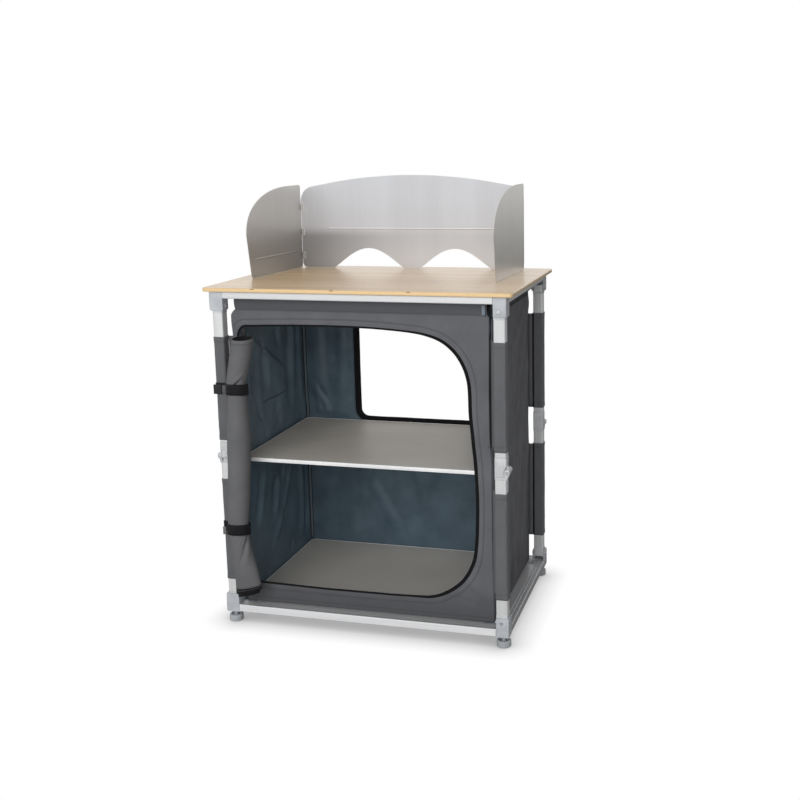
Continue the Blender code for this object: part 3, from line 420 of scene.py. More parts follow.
alongX, alongY, alongZ, allRound = (0.02, 1, 1), (1, 0.02, 1), (1, 1, 0.02), (1, 1, 1)
rolled = {"along": (1, 1, 0.03), "rough": 0.36, "metallic": 0.88, "contrast": 0.06}  # the windscreen's sheets
hardFinishes = {
    "tube": metalFinish("anodisedTube", (0.84, 0.845, 0.85), alongZ, 0.40, 0.45),
    # The rails are lit and shaded copies of one anodised aluminium: the side rails, along Y, are painted darker
    # with shade, and the low front and rear rails are painted lighter with light
    "railAlongX": metalFinish("anodisedRailX", (0.80, 0.81, 0.82), alongX, 0.42, 0.40),
    "railAlongY": metalFinish("anodisedRailYShaded", (0.66, 0.67, 0.68), alongY, 0.42, 0.35),
    "lowRailX": metalFinish("anodisedLowRailXLit", (0.90, 0.905, 0.915), alongX, 0.42, 0.30, shadedTop=0.45),
    "lowRailY": metalFinish("anodisedLowRailYShaded", (0.46, 0.465, 0.475), alongY, 0.42, 0.35),
    # the wings take a darker, warmer copy of the back sheet's metal: painted shade and a painted reflection of the
    # worktop
    "wingSheet": metalFinish("brushedWingShaded", (0.68, 0.67, 0.645), paintedReflection=0.62, paintedReflectionFrom=(0.83, 0.97), **rolled),
    "sheet": metalFinish("brushedSheet", (0.82, 0.835, 0.875), paintedReflection=0.56, **rolled),
    "fitting": plasticFinish("greyFitting", (0.50, 0.52, 0.55), 0.45),
    "knee": plasticFinish("greyKnee", (0.60, 0.61, 0.62), 0.42),
    "foot": plasticFinish("greyFoot", (0.40, 0.42, 0.445), 0.5),
    "bamboo": bambooFinish(),
    "shelf": shelfFinish(),
    "edging": metalFinish("shelfEdging", (0.96, 0.965, 0.97), allRound, 0.34, 0.20),
    "loop": plasticFinish("loopTape", (0.02, 0.02, 0.022), 0.7),
    "keeper": plasticFinish("greyKeeper", (0.085, 0.083, 0.084), 0.6),
    "paleKeeper": plasticFinish("paleKeeper", (0.17, 0.165, 0.168), 0.5),
    "cornerTab": plasticFinish("cornerTabCloth", (0.20, 0.235, 0.27), 0.75),
    "screw": metalFinish("brightScrew", (0.88, 0.88, 0.90), allRound, 0.22, 0.95),
}
print("hard finishes ready")


# Cloth finishes. Every cloth piece has a UV map in metres, and its distance to the edge if it needs it.

clothColours = {
    "outer": ((0.098, 0.100, 0.108), (0.150, 0.153, 0.163)),
    "sleeve": ((0.098, 0.100, 0.106), (0.146, 0.149, 0.156)),
    "inner": ((0.052, 0.080, 0.104), (0.088, 0.128, 0.160)),
    "binding": ((0.09, 0.115, 0.135), (0.12, 0.15, 0.175)),
    "roll": ((0.105, 0.106, 0.110), (0.155, 0.156, 0.161)),
    # near black: painted shade inside the door roll
    "rollInsideShade": ((0.003, 0.003, 0.004), (0.008, 0.008, 0.009)),
}
clothKinds = {
    # shares of weave and cloud in the tone, height of the weave, roughness, gloss and sheen
    "matt": {"tone": (0.55, 0.45), "weave": 0.25, "rough": (0.72, 0.88), "gloss": 0.28, "sheen": 0.04},
    "shiny": {"tone": (0.2, 0.8), "weave": 0.08, "rough": (0.34, 0.50), "gloss": 0.5, "sheen": 0.0},
}
zipTape = {"black": (0.003, 0.003, 0.004), "teeth": 0.0022, "line": (0.12, 0.12, 0.125), "rough": 0.85}


def clothFinish(name, colours, kind="matt", band=None, tapeLine=None, rowAt=(), seams=(), grooveShade=0.42,
                shadedTopStrip=None, lowShade=None, slit=None):
    # band: width of the zip tape at the edge, tapeLine: a pale line's distance from the edge on it,
    # rowAt: distances of stitch rows from the edge, seams: heights of level seams, grooveShade: how dark
    # the painted shade in the rows' grooves is, shadedTopStrip: where the strip under the rail starts and the
    # tone of its painted shade, lowShade: the tone of painted shade near the ground, slit: ends and height
    # of a slit, a dent with painted shade in it
    facts = clothKinds[kind]
    dark, light = colours
    material, tree, shader = newMaterial(name, Sheen_Weight=facts["sheen"], Sheen_Roughness=0.6,
                                         Specular_IOR_Level=facts["gloss"])
    uv = clothPlace(tree)
    place = split(uv)
    weave = placeGroup(tree, "plainWeave", Vector=uv, Pitch=0.0011)
    cloud = noisy(uv, 14, 3)
    tone = weighed(weave["Tone"], facts["tone"][0], cloud, facts["tone"][1])
    colour = tinted(spread(tone, 0.25, 0.75), dark, light)
    height = times(weave["Height"], facts["weave"])
    # the strip under the rail is painted darker: painted shade
    if shadedTopStrip:
        above = spread(place["Y"], shadedTopStrip[0] - 0.0005, shadedTopStrip[0] + 0.0005)
        colour = tinted(above, colour, scaled(dark, shadedTopStrip[1]))
    # near the ground the cloth is painted darker: painted shade
    if lowShade:
        low = within(compute("MULTIPLY_ADD", cloud, 0.05, place["Y"]), 0.07, 0.19)
        colour = tinted(low, colour, scaled(dark, lowShade))
    if kind == "shiny":  # the coating is finely creased
        height = compute("ADD", height, times(noisy(uv, 26, 4, 0.6), 2.2))
    if rowAt or band is not None:
        near, along = [readAttribute(tree, label) for label in ("fromEdge", "alongEdge")]
    rows = [(compute("SUBTRACT", near, at), along) for at in rowAt]
    rows += [(compute("SUBTRACT", place["Y"], at), place["X"]) for at in seams]
    for distance, beat in rows:
        stitch = placeGroup(tree, "stitchRow", Distance=distance, Along=beat)
        # the groove is painted darker: painted shade in it
        colour = tinted(times(stitch["Groove"], grooveShade), colour, scaled(dark, 0.30))
        colour = tinted(times(stitch["Thread"], 0.6), colour, light)
        height = compute("SUBTRACT", height, times(stitch["Groove"], 1.2))
        height = compute("ADD", height, times(stitch["Thread"], 0.8))
    # the slit is a dent painted dark inside: painted shade
    if slit:
        left, right, level = slit
        half = (right - left) / 2
        inside = within(apart(place["X"], (left + right) / 2), half - 0.004, half)
        line = times(inside, within(apart(place["Y"], level), 0.0008, 0.0022))
        colour = tinted(line, colour, scaled(dark, 0.15))
        height = compute("SUBTRACT", height, times(line, 3.0))
    rough = spread(tone, 0.25, 0.75, *facts["rough"])
    if band is not None:
        tape = within(near, band - 0.0004, band + 0.0004)
        colour = tinted(tape, colour, zipTape["black"])
        if tapeLine:
            pale = within(apart(near, tapeLine), 0.0002, 0.0007)
            colour = tinted(times(pale, 0.8), colour, zipTape["line"])
        teeth = compute("SINE", times(along, math.tau / zipTape["teeth"]))
        height = compute("ADD", height, times(times(teeth, tape), 0.3))
        rough = compute("MAXIMUM", rough, times(tape, zipTape["rough"]))
    finishShader(shader, colour, rough, height, 0.5, 0.0006)
    return material


def webbingFinish():
    # Black webbing with ribs across its width
    material, tree, shader = newMaterial("blackWebbing", Specular_IOR_Level=0.22)
    weave = placeGroup(tree, "plainWeave", Vector=stretched(clothPlace(tree), (1, 0.4, 1)), Pitch=0.0016)
    body = tinted(weave["Tone"], (0.004, 0.004, 0.005), (0.016, 0.016, 0.018))
    finishShader(shader, body, spread(weave["Height"], 0, 1, 0.55, 0.75), weave["Height"], 0.6, 0.0005)
    return material


webbing = webbingFinish()
sleeve = {"round": 0.0042, "hem": 0.012, "bulge": 0.0004, "skin": 0.0008, "swell": 0.0004,
          "points": 48, "rows": 60}
sleeveCloth = clothFinish("sleeveCloth", clothColours["sleeve"], rowAt=(sleeve["hem"],), grooveShade=0.22)
print("cloth finishes ready")


# Helpers for pieces made with operators

def onlyThis(piece):
    bpy.ops.object.select_all(action="DESELECT")
    piece.select_set(True)
    bpy.context.view_layer.objects.active = piece


def pick(piece, kind, test):
    # Selects the faces, edges or verts that pass the test, in edit mode
    bpy.ops.mesh.select_mode(type={"faces": "FACE", "edges": "EDGE", "verts": "VERT"}[kind])
    bpy.ops.mesh.select_all(action="DESELECT")
    shape = bmesh.from_edit_mesh(piece.data)
    for item in getattr(shape, kind):
        if test(item):
            item.select_set(True)
    shape.select_flush_mode()
    bmesh.update_edit_mesh(piece.data)


def finishPiece(piece, name, body, finish):
    onlyThis(piece)
    bpy.ops.object.transform_apply(location=True, rotation=True, scale=True)
    bpy.ops.object.shade_smooth_by_angle(angle=math.radians(32))
    piece.name = piece.data.name = name
    piece.data.materials.clear()
    piece.data.materials.append(hardFinishes[finish])
    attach(piece, body)
    return piece


def addBlock(low, high):
    # A block between two corners, left in object mode
    bpy.ops.object.select_all(action="DESELECT")
    bpy.ops.mesh.primitive_cube_add(size=1, location=(Vector(low) + Vector(high)) / 2)
    piece = bpy.context.active_object
    piece.scale = Vector(high) - Vector(low)
    onlyThis(piece)
    bpy.ops.object.transform_apply(location=True, rotation=True, scale=True)
    return piece


def roundCorners(piece, radius):
    # Rounds a block's upright edges, and leaves its top and base selected in edit mode
    def isUpright(edge):
        a, b = edge.verts[0].co, edge.verts[1].co
        return abs(a.x - b.x) + abs(a.y - b.y) < 1e-6

    bpy.ops.object.mode_set(mode="EDIT")
    pick(piece, "edges", isUpright)
    bpy.ops.mesh.bevel(offset=radius, segments=6)
    pick(piece, "faces", lambda face: abs(face.normal.z) > 0.9)


def addRim(low, high, corner, wall):
    # A block hollowed from top to bottom, with rounded corners
    rim = addBlock(low, high)
    roundCorners(rim, corner)
    bpy.ops.mesh.inset(thickness=wall)
    bpy.ops.mesh.delete(type="FACE")
    pick(rim, "edges", lambda edge: edge.is_boundary)
    bpy.ops.mesh.bridge_edge_loops()
    bpy.ops.mesh.select_all(action="SELECT")
    bpy.ops.mesh.normals_make_consistent(inside=False)
    bpy.ops.object.mode_set(mode="OBJECT")
    return rim


# Hard nodes: new finish, rounded edges

hardKinds = (  # word in the node's name, finish, rounding of its edges
    ("top_rail_front", "railAlongX", 0.0006), ("top_rail_rear", "railAlongX", 0.0006),
    ("bottom_rail_front", "lowRailX", 0.0006), ("bottom_rail_rear", "lowRailX", 0.0006),
    ("top_rail", "railAlongY", 0.0006), ("bottom_rail", "lowRailY", 0.0006),
    ("tube", "tube", 0.0009), ("knee", "knee", 0.0007), ("corner", "fitting", 0.0008),
    ("foot", "foot", 0.0007), ("worktop", "bamboo", 0.0008),
    ("windscreen_back", "sheet", 0.0003), ("windscreen", "wingSheet", 0.0003),
)


def finishNode(node, finish, rounding):
    node.data.materials.clear()
    node.data.materials.append(hardFinishes[finish])
    onlyThis(node)
    if "custom_normal" in node.data.attributes:
        bpy.ops.mesh.customdata_custom_splitnormals_clear()
    bpy.ops.object.shade_smooth()
    weld = node.modifiers.new("weld", "WELD")
    weld.merge_threshold = 0.00002
    bevel = node.modifiers.new("edges", "BEVEL")
    bevel.width, bevel.segments, bevel.limit_method = rounding, 2, "ANGLE"
    bevel.angle_limit = math.radians(38)
    bevel.use_clamp_overlap = False
    weighted = node.modifiers.new("shading", "WEIGHTED_NORMAL")
    weighted.keep_sharp = False


for name, node in nodes.items():
    kind = next((kind for kind in hardKinds if kind[0] in name), None)
    if kind:
        finishNode(node, *kind[1:])
print("hard nodes finished")


# Shelves: a laminated board in an aluminium edging

shelf = {"wall": 0.0024, "boardDrop": 0.0005, "round": 0.0008, "corner": 0.012, "gap": 0.0001, "lip": 0.0006}


def makeShelf(node, body):
    low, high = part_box(node)
    rim = addRim(low, high, shelf["corner"], shelf["wall"])
    rounding = rim.modifiers.new("round", "BEVEL")
    rounding.width, rounding.segments, rounding.angle_limit = shelf["round"], 3, math.radians(50)
    bpy.ops.object.modifier_apply(modifier="round")
    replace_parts(finishPiece(rim, camel(node) + "Edging", body, "edging"), node)
    inset = Vector((1, 1, 0)) * (shelf["wall"] + shelf["gap"])
    drop = Vector((0, 0, shelf["boardDrop"]))
    panel = addBlock(low + inset + drop, high - inset - drop)
    roundCorners(panel, shelf["corner"] - shelf["wall"])
    bpy.ops.mesh.inset(thickness=shelf["lip"])
    bpy.ops.object.mode_set(mode="OBJECT")
    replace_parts(finishPiece(panel, camel(node) + "Board", body, "shelf"), node)


makeShelf("middle_shelf", "shelf")
makeShelf("bottom_shelf", "bottom_frame")
print("shelves made")


# Cloth helpers: sheets in mesh code

floorLow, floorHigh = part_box("cover_floor")
frontRailLow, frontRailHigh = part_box("top_rail_front")
cover = {
    "skin": 0.0011,  # thickness of the cloth
    "besideFloor": 0.0013,  # the floor's edge to the middle of a wall
    "top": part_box("cover_right")[1].z, "base": floorLow.z,
    "hemStart": frontRailLow.z - 0.030, "hemTurn": 0.014,
    "keep": 0.0996,  # share of its height that the cover keeps when folded; here it only asks for the piece's own mesh
}
halfX = floorHigh.x + cover["besideFloor"]
halfY = (floorHigh.y - floorLow.y) / 2 + cover["besideFloor"]


def smoothStep(value, low, high):
    t = np.clip((np.asarray(value, float) - low) / (high - low), 0, 1)
    return t * t * (3 - 2 * t)


def bell(value, middle, width):
    return np.exp(-((value - middle) / width) ** 2)


def lengthsAlong(points):
    return np.concatenate(([0], np.cumsum(np.linalg.norm(np.diff(points, axis=0), axis=1))))


def evenly(outline, count=None, step=None):
    # Points at even distances on a closed outline, these distances, and the outline's length
    closed = np.vstack((outline, outline[:1]))
    lengths = lengthsAlong(closed)
    total = lengths[-1]
    places = np.linspace(0, total, count, endpoint=False) if count else np.arange(0, total, step)
    return np.column_stack([np.interp(places, lengths, closed[:, i]) for i in (0, 1)]), places, total


def smoothThrough(points, steps):
    curve = []
    last = len(points) - 1
    for i in range(last):
        a, b, c, d = points[max(i - 1, 0)], points[i], points[i + 1], points[min(i + 2, last)]
        for t in np.arange(steps) / steps:
            curve.append(tuple(0.5 * (2 * q + (r - p) * t + (2 * p - 5 * q + 4 * r - s) * t ** 2
                                      + (3 * q - p - 3 * r + s) * t ** 3) for p, q, r, s in zip(a, b, c, d)))
    return curve + [points[last]]


def arcPoints(cx, cy, radius, start, stop, steps):
    return [(cx + radius * math.cos(math.radians(a)), cy + radius * math.sin(math.radians(a)))
            for a in np.linspace(start, stop, steps)]


def roundedBox(left, right, low, high, r, steps):
    return (arcPoints(right - r, low + r, r, 270, 360, steps) + arcPoints(right - r, high - r, r, 0, 90, steps)
            + arcPoints(left + r, high - r, r, 90, 180, steps) + arcPoints(left + r, low + r, r, 180, 270, steps))


def foldDepth(folds, u, z):
    # Each fold is a soft crest from one point to another, with a trough beside it:
    # start (u, z), end (u, z), half width, height outwards; all in metres
    total = np.zeros_like(u)
    for startU, startZ, endU, endZ, width, height in folds:
        du, dz = endU - startU, endZ - startZ
        length = math.hypot(du, dz)
        t = ((u - startU) * du + (z - startZ) * dz) / length ** 2
        side = ((u - startU) * dz - (z - startZ) * du) / length / width
        fade = smoothStep(t, -0.05, 0.22) * (1 - smoothStep(t, 0.72, 1.08))
        total += height * fade * (np.exp(-side ** 2) - 0.45 * bell(side, 1.5, 0.8))
    return total


def crumple(u, z, seed, sizeU, sizeZ, height):
    # Smooth noise, the same each run
    return np.array([height * noise.fractal(Vector((a / sizeU, b / sizeZ, seed)), 0.9, 2.1, 3)
                     for a, b in zip(np.ravel(u), np.ravel(z))]).reshape(np.shape(u))


def clothMesh(name, points, quads, uvs, finishes, thickness, fromEdge=None, alongEdge=None):
    # points: n x 3, quads: index tuples, uvs: n x 2 in metres, finishes: outer and inner side;
    # the thickness grows inwards
    mesh = bpy.data.meshes.new(name)
    mesh.from_pydata([tuple(p) for p in points], [], quads)
    layer = mesh.uv_layers.new(name="cloth")
    loopVerts = np.zeros(len(mesh.loops), np.int32)
    mesh.loops.foreach_get("vertex_index", loopVerts)
    layer.data.foreach_set("uv", np.asarray(uvs, np.float32)[loopVerts].ravel())
    for label, numbers in (("fromEdge", fromEdge), ("alongEdge", alongEdge)):
        if numbers is not None:
            attribute = mesh.attributes.new(label, "FLOAT", "POINT")
            attribute.data.foreach_set("value", np.ravel(np.asarray(numbers, np.float32)))
    mesh.shade_smooth()
    piece = bpy.data.objects.new(name, mesh)
    bpy.context.scene.collection.objects.link(piece)
    for material in finishes:
        mesh.materials.append(material)
    onlyThis(piece)
    solid = piece.modifiers.new("thickness", "SOLIDIFY")
    solid.thickness, solid.offset = thickness, -1
    solid.material_offset = len(finishes) - 1
    solid.use_even_offset = False
    bpy.ops.object.modifier_apply(modifier="thickness")
    return piece


def gridQuads(rows, columns, closed=False, start=0):
    # Quads of a grid of rows x columns points; closed joins the last column to the first
    quads = []
    for r in range(rows - 1):
        for c in range(columns if closed else columns - 1):
            a, b = start + r * columns + c, start + r * columns + (c + 1) % columns
            quads.append((a, b, b + columns, a + columns))
    return quads


def squashDown(piece):
    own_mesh(piece)


def softPiece(piece):
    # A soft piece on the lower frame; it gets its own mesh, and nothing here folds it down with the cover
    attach(piece, "bottom_frame")
    squashDown(piece)
    return piece


def dressCloth(piece, node, body="bottom_frame", keep=cover["keep"],
               withPieces=()):
    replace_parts(piece, node)
    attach(piece, body)
    if keep:
        squashDown(piece)


# Cover walls. Along a wall, u is X or Y from the cover's middle; out is away from it.

railInnerX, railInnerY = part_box("top_rail_right")[0].x, -(frontRailHigh.y - midY)
wallPlaces = {  # (along, outwards, distance to the wall, half length, place of the rail's inner face)
    "front": (Vector((1, 0, 0)), Vector((0, -1, 0)), halfY, halfX, railInnerY),
    "rear": (Vector((-1, 0, 0)), Vector((0, 1, 0)), halfY, halfX, railInnerY),
    "right": (Vector((0, 1, 0)), Vector((1, 0, 0)), halfX, halfY, railInnerX),
    "left": (Vector((0, -1, 0)), Vector((-1, 0, 0)), halfX, halfY, railInnerX),
}

anyWall = {
    "boost": 1.0, "slack": 0.0, "room": (0.0022, 0.0100),  # how far folds may stand in and out
    "glow": 1.0, "slit": None,  # painted light that brightens the coating, and a slit with painted shade on it
}
# the side walls' cloth is a darker copy, tone 0.88: painted shade, as they face away from the light; all walls are
# also painted darker near the ground and on the strip under the rail
plainWall = {**anyWall, "tone": 0.88, "lowShade": 0.72, "row": 0.006, "seam": 0.0010, "lowSeam": 0.058,
             "band": None, "columns": 81, "rows": 141}
openWall = {**anyWall, "tone": 1.0, "lowShade": 0.80, "seam": 0.0012, "lowSeam": 0.0545, "band": 0.0,
            "strip": (cover["hemStart"] + 0.002, 0.95)}
walls = {
    # folds: start u, start z, end u, end z, half width, height outwards
    "right": {**plainWall, "seed": 3.1, "crumple": 0.0034, "boost": 1.5, "slack": 0.0030,
              "hemEnds": (0.012, 0.010), "strip": (0.743, 0.12), "folds": (
        # u runs towards the rear here
        (0.185, 0.735, 0.02, 0.50, 0.016, 0.0060), (0.17, 0.73, -0.10, 0.60, 0.013, 0.0048),
        (0.19, 0.62, 0.03, 0.36, 0.017, 0.0055), (0.10, 0.66, -0.06, 0.30, 0.016, -0.0050),
        (0.19, 0.47, 0.08, 0.14, 0.018, 0.0055), (0.14, 0.36, 0.16, 0.07, 0.013, -0.0045),
        (-0.06, 0.42, -0.12, 0.10, 0.016, 0.0040), (-0.17, 0.70, -0.12, 0.45, 0.012, -0.0035),
        (0.02, 0.30, 0.03, 0.07, 0.018, -0.0035))},
    "left": {**plainWall, "seed": 7.7, "crumple": 0.0016, "boost": 1.15, "slack": 0.0042,
             # the left wall's coating is painted 1.6 times lighter: painted light falling on it
             "hemEnds": (0.016, 0.055), "strip": (0.7517, 0.3), "glow": 1.6, "slit": (-0.073, 0.063, 0.499),
             "folds": (
        # u runs towards the front here
        (0.125, 0.665, -0.085, 0.545, 0.013, -0.0085), (0.060, 0.650, 0.030, 0.530, 0.014, 0.0060),
        (-0.178, 0.735, -0.176, 0.440, 0.014, -0.0070), (-0.112, 0.735, -0.100, 0.460, 0.017, 0.0065),
        (-0.020, 0.735, -0.050, 0.620, 0.012, 0.0050), (0.120, 0.535, 0.058, 0.405, 0.010, -0.0065),
        (0.105, 0.580, 0.080, 0.430, 0.014, 0.0055), (-0.010, 0.480, -0.040, 0.420, 0.016, 0.0040),
        (0.170, 0.700, 0.150, 0.500, 0.014, 0.0050),
        (-0.110, 0.345, -0.028, 0.190, 0.010, -0.0075), (-0.028, 0.190, 0.045, 0.115, 0.011, -0.0065),
        (0.078, 0.345, 0.128, 0.195, 0.013, 0.0065), (0.000, 0.300, 0.033, 0.200, 0.014, 0.0060),
        (-0.160, 0.385, -0.150, 0.090, 0.013, -0.0060), (-0.078, 0.100, -0.066, 0.066, 0.006, 0.0040),
        (-0.075, 0.385, -0.020, 0.270, 0.012, 0.0050))},
    "front": {**openWall, "seed": 1.3, "crumple": 0.0009, "row": 0.0125, "folds": (
        (-0.285, 0.725, -0.235, 0.755, 0.006, -0.0016), (0.288, 0.10, 0.225, 0.155, 0.008, 0.0022),
        (0.296, 0.075, 0.20, 0.105, 0.007, -0.0016), (0.295, 0.44, 0.262, 0.34, 0.008, 0.0020),
        (0.294, 0.36, 0.268, 0.50, 0.006, -0.0014), (0.285, 0.62, 0.262, 0.48, 0.008, 0.0014),
        (0.10, 0.07, -0.10, 0.083, 0.007, 0.0010))},
    "rear": {**openWall, "seed": 5.2, "crumple": 0.0024, "row": 0.003, "boost": 1.1, "slack": 0.0010,
             "room": (0.0030, 0.0038), "folds": (
        # u runs towards the left here
        (0.268, 0.74, 0.264, 0.47, 0.015, -0.0065), (0.222, 0.74, 0.228, 0.42, 0.016, 0.0050),
        (0.290, 0.505, 0.240, 0.425, 0.007, -0.0060), (0.275, 0.50, 0.262, 0.41, 0.006, -0.0045),
        (0.195, 0.74, 0.17, 0.67, 0.008, -0.0035), (0.28, 0.425, 0.18, 0.415, 0.006, -0.0030),
        (0.17, 0.385, 0.26, 0.20, 0.016, -0.0055), (0.10, 0.385, 0.13, 0.27, 0.010, -0.0040),
        (0.05, 0.385, 0.00, 0.12, 0.020, 0.0045), (0.13, 0.24, 0.05, 0.10, 0.012, -0.0040),
        (-0.08, 0.385, -0.02, 0.18, 0.018, -0.0045), (-0.20, 0.385, -0.17, 0.10, 0.016, 0.0040),
        (-0.245, 0.73, -0.23, 0.42, 0.014, 0.0040))},
}
# height, half width and depth
drawnIn = {"knee": (0.428, 0.026, 0.0036), "hem": (0.722, 0.020, -0.0024), "reach": 0.07}


def cornerPull(u, z, half):
    # The webs leave the cover's corners free at the knees, where they are drawn in a little
    depth = sum(drawnIn[key][2] * bell(z, *drawnIn[key][:2]) for key in ("knee", "hem"))
    return depth * smoothStep(np.abs(u), half - drawnIn["reach"], half)


def wallOffset(side, u, z):
    # How far the cloth lies outside the wall's middle plane: loose folds, then the hem's turn
    facts = walls[side]
    along, out, distance, half, rail = wallPlaces[side]
    rise = (z - cover["base"]) / (cover["hemStart"] - cover["base"])
    calm = smoothStep(np.abs(u), half, half - 0.035) * smoothStep(rise, 0, 0.06) \
        * (1 - smoothStep(rise, 0.955, 1.0))
    loose = foldDepth(facts["folds"], u, z) + crumple(u, z, facts["seed"], 0.055, 0.13, facts["crumple"])
    # the shelves' edges hold the walls out
    for node in ("middle_shelf", "bottom_shelf"):
        low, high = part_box(node)
        near = bell(z, (low.z + high.z) / 2, 0.016)
        loose = loose * (1 - near) + near * np.maximum(loose, 0.0002) * 0.5
    hemShift = rail - 0.0003 - cover["skin"] - distance
    turn = smoothStep(z, cover["hemStart"], cover["hemStart"] + cover["hemTurn"])
    loose = loose * facts["boost"] + facts["slack"]
    inward, outward = facts["room"]
    loose = np.where(loose < 0, -inward * np.tanh(-loose / inward), outward * np.tanh(loose / outward))
    return loose * calm * (1 - turn) + hemShift * turn - cornerPull(u, z, half)


def onWall(side, u, z, out):
    along, outward, distance, half, rail = wallPlaces[side]
    points = np.outer(np.ravel(u), along) + np.outer(np.ravel(out) + distance, outward)
    points[:, 1] += midY
    points[:, 2] = np.ravel(z)
    return points


def wallFinishes(side):
    facts = walls[side]
    edges = {"rowAt": (facts["row"],), "band": facts["band"]}
    hem = cover["hemStart"] + facts["seam"]
    outer, inner = [[scaled(colour, facts[share]) for colour in clothColours[name]]
                    for name, share in (("outer", "tone"), ("inner", "glow"))]
    return (clothFinish(camel("cloth_" + side), outer, seams=(hem, facts["lowSeam"]), shadedTopStrip=facts["strip"],
                        lowShade=facts["lowShade"], **edges),
            clothFinish(camel("coating_" + side), inner, "shiny", seams=(hem,), slit=facts["slit"], **edges))


def makePlainWall(side):
    facts = walls[side]
    half = wallPlaces[side][3] + 0.0004
    u, z = np.meshgrid(np.linspace(-half, half, facts["columns"]),
                       np.linspace(cover["base"], cover["top"], facts["rows"]))
    edge = np.minimum(u + half, half - u)
    flat = np.column_stack((u.ravel(), z.ravel()))
    # the hem's ends stand back from the corners
    short, long = facts["hemEnds"]
    atHem = smoothStep(z, cover["hemStart"] - 0.005, cover["hemStart"] + 0.006)
    drawn = atHem * smoothStep(np.abs(u), half - 0.13, half)
    u = u - drawn * np.where(u > 0, long, -short) - np.sign(u) * cornerPull(u, z, half)
    offset = wallOffset(side, u, z) + cover["skin"] / 2
    piece = clothMesh(camel("cover_" + side), onWall(side, u, z, offset), gridQuads(*u.shape), flat,
                      wallFinishes(side), cover["skin"], edge, z)
    dressCloth(piece, "cover_" + side)


opening = {
    # the door's edge: distance from the wall's nearer end (minus from the right end) and height
    "door": ((0.0420, 0.0950), (0.2295, 0.0922), (-0.2022, 0.0938), (-0.1377, 0.0998), (-0.0864, 0.1297),
             (-0.0564, 0.1708), (-0.0433, 0.2231), (-0.0394, 0.3490), (-0.0480, 0.4720), (-0.0531, 0.5286),
             (-0.0561, 0.6008), (-0.0734, 0.6482), (-0.1052, 0.6828), (-0.1456, 0.7007), (-0.2029, 0.7098),
             (-0.3028, 0.7152), (0.1683, 0.7156), (0.0420, 0.7120)),
    "doorHinge": 0.0115, "doorHingeRound": 0.009, "doorHingeTop": (0.020, 0.034),
    "window": (-0.146, 0.166, 0.411, 0.700, 0.020),  # left, right, bottom, top, corner
    "doorTape": 0.0045, "doorTapeRight": 0.0085, "windowTape": 0.0175,
    # how far the front panel's right edge stands from the wall's end, from the floor up
    "rightEdge": ((0.057, 0.0), (0.196, -0.0030), (0.406, -0.0035), (0.474, -0.0068), (0.564, -0.0075),
                  (0.687, -0.0058), (0.742, -0.0050)),
    "leftEdge": ((0.66, 0), (0.735, -0.0030)),
    "shoulder": 0.011, "shoulderRight": 0.004, "edgeBand": 0.262,
    "press": 0.0006, "puff": (0.006, 0.005, 0.0008),  # the tape lies lower, the cloth beside it higher
    "edgeStep": 0.0025, "outlineStep": 0.0065, "windowRings": 40,
    "doorRings": (0, 0.02, 0.06, 0.12, 0.19, 0.27, 0.35, 0.44, 0.53, 0.62, 0.71, 0.80, 0.88, 0.95, 1.0),
}


def doorEdge():
    points = smoothThrough([(inset - math.copysign(halfX, inset), z) for inset, z in opening["door"]], 8)
    left, r = -halfX + opening["doorHinge"], opening["doorHingeRound"]
    low, high = opening["door"][0][1], opening["door"][-1][1]
    wide, tall = opening["doorHingeTop"]
    top = [(left + wide * (1 + x), high - tall * (1 - z)) for x, z in arcPoints(0, 0, 1, 90, 180, 12)]
    return points + top + arcPoints(left + r, low + r, r, 180, 270, 8)[:-1]


def windowEdge():
    left, right, low, high, r = opening["window"]
    return roundedBox(-right, -left, low, high, r, 8)  # u runs the other way on the rear wall


def outerEdge(half, step):
    # The wall's own outline, anticlockwise, corners included
    low, high = cover["base"], cover["top"]
    ends = ((-half, low), (half, low), (half, high), (-half, high))
    points = []
    for (x0, z0), (x1, z1) in zip(ends, ends[1:] + ends[:1]):
        count = int(math.hypot(x1 - x0, z1 - z0) / step)
        points += [(x0 + (x1 - x0) * i / count, z0 + (z1 - z0) * i / count) for i in range(count)]
    return np.array(points)


def alongRay(middle, target, outline):
    # Where the ray from the middle to the target crosses the closed outline
    d = target - middle
    a = outline - middle
    b = np.roll(outline, -1, axis=0) - middle
    crossA = d[0] * a[:, 1] - d[1] * a[:, 0]
    crossB = d[0] * b[:, 1] - d[1] * b[:, 0]
    for i in np.nonzero(crossA * crossB <= 0)[0]:
        share = crossA[i] / (crossA[i] - crossB[i] + 1e-15)
        point = a[i] + (b[i] - a[i]) * share
        if point @ d > 0:
            return middle + point
    return target


def tapeWidth(side, u):
    if side == "rear":
        return np.full(np.shape(u), opening["windowTape"])
    return opening["doorTape"] + (opening["doorTapeRight"] - opening["doorTape"]) * smoothStep(u, 0.09, 0.235)


strap = {
    "width": 0.025, "skin": 0.0012, "tilt": 0.15, "upper": 0.5695, "lower": 0.2365, "clear": 0.0004,
    "round": 0.005, "rows": 5, "points": (40, 64),  # points round the roll and round the leg
    "open": (42, 48),  # degrees left open there to each side, where the belt is drawn in
    "waist": 0.0055, "waistAt": 0.60,  # half width in between, and its share of the way to the leg
}
webs = {"skin": 0.001, "step": 0.012, "sag": 0.0012, "strapRoom": 0.0185, "seamTop": 0.7760, "drawn": 0.0030,
        "front": ((-0.0100, -0.0012), (-0.0012, 0.0120)),  # the black seam and the web, from the wall's end
        "rear": ((0.0115, 0.0160), (0.0002, 0.0117))}


def webSpans(corner, part, label):
    # Heights that a web or seam covers beside a sleeve; it leaves room for the straps
    low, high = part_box(part + "_sleeve_" + corner)
    start, end = low.z + 0.001, high.z - 0.001
    if (corner, part, label) == ("front_right", "upper", "Seams"):
        end = webs["seamTop"]
    if corner == "front_left":
        return low.x, ((start, strap[part] - webs["strapRoom"]), (strap[part] + webs["strapRoom"], end))
    return low.x, ((start, end),)


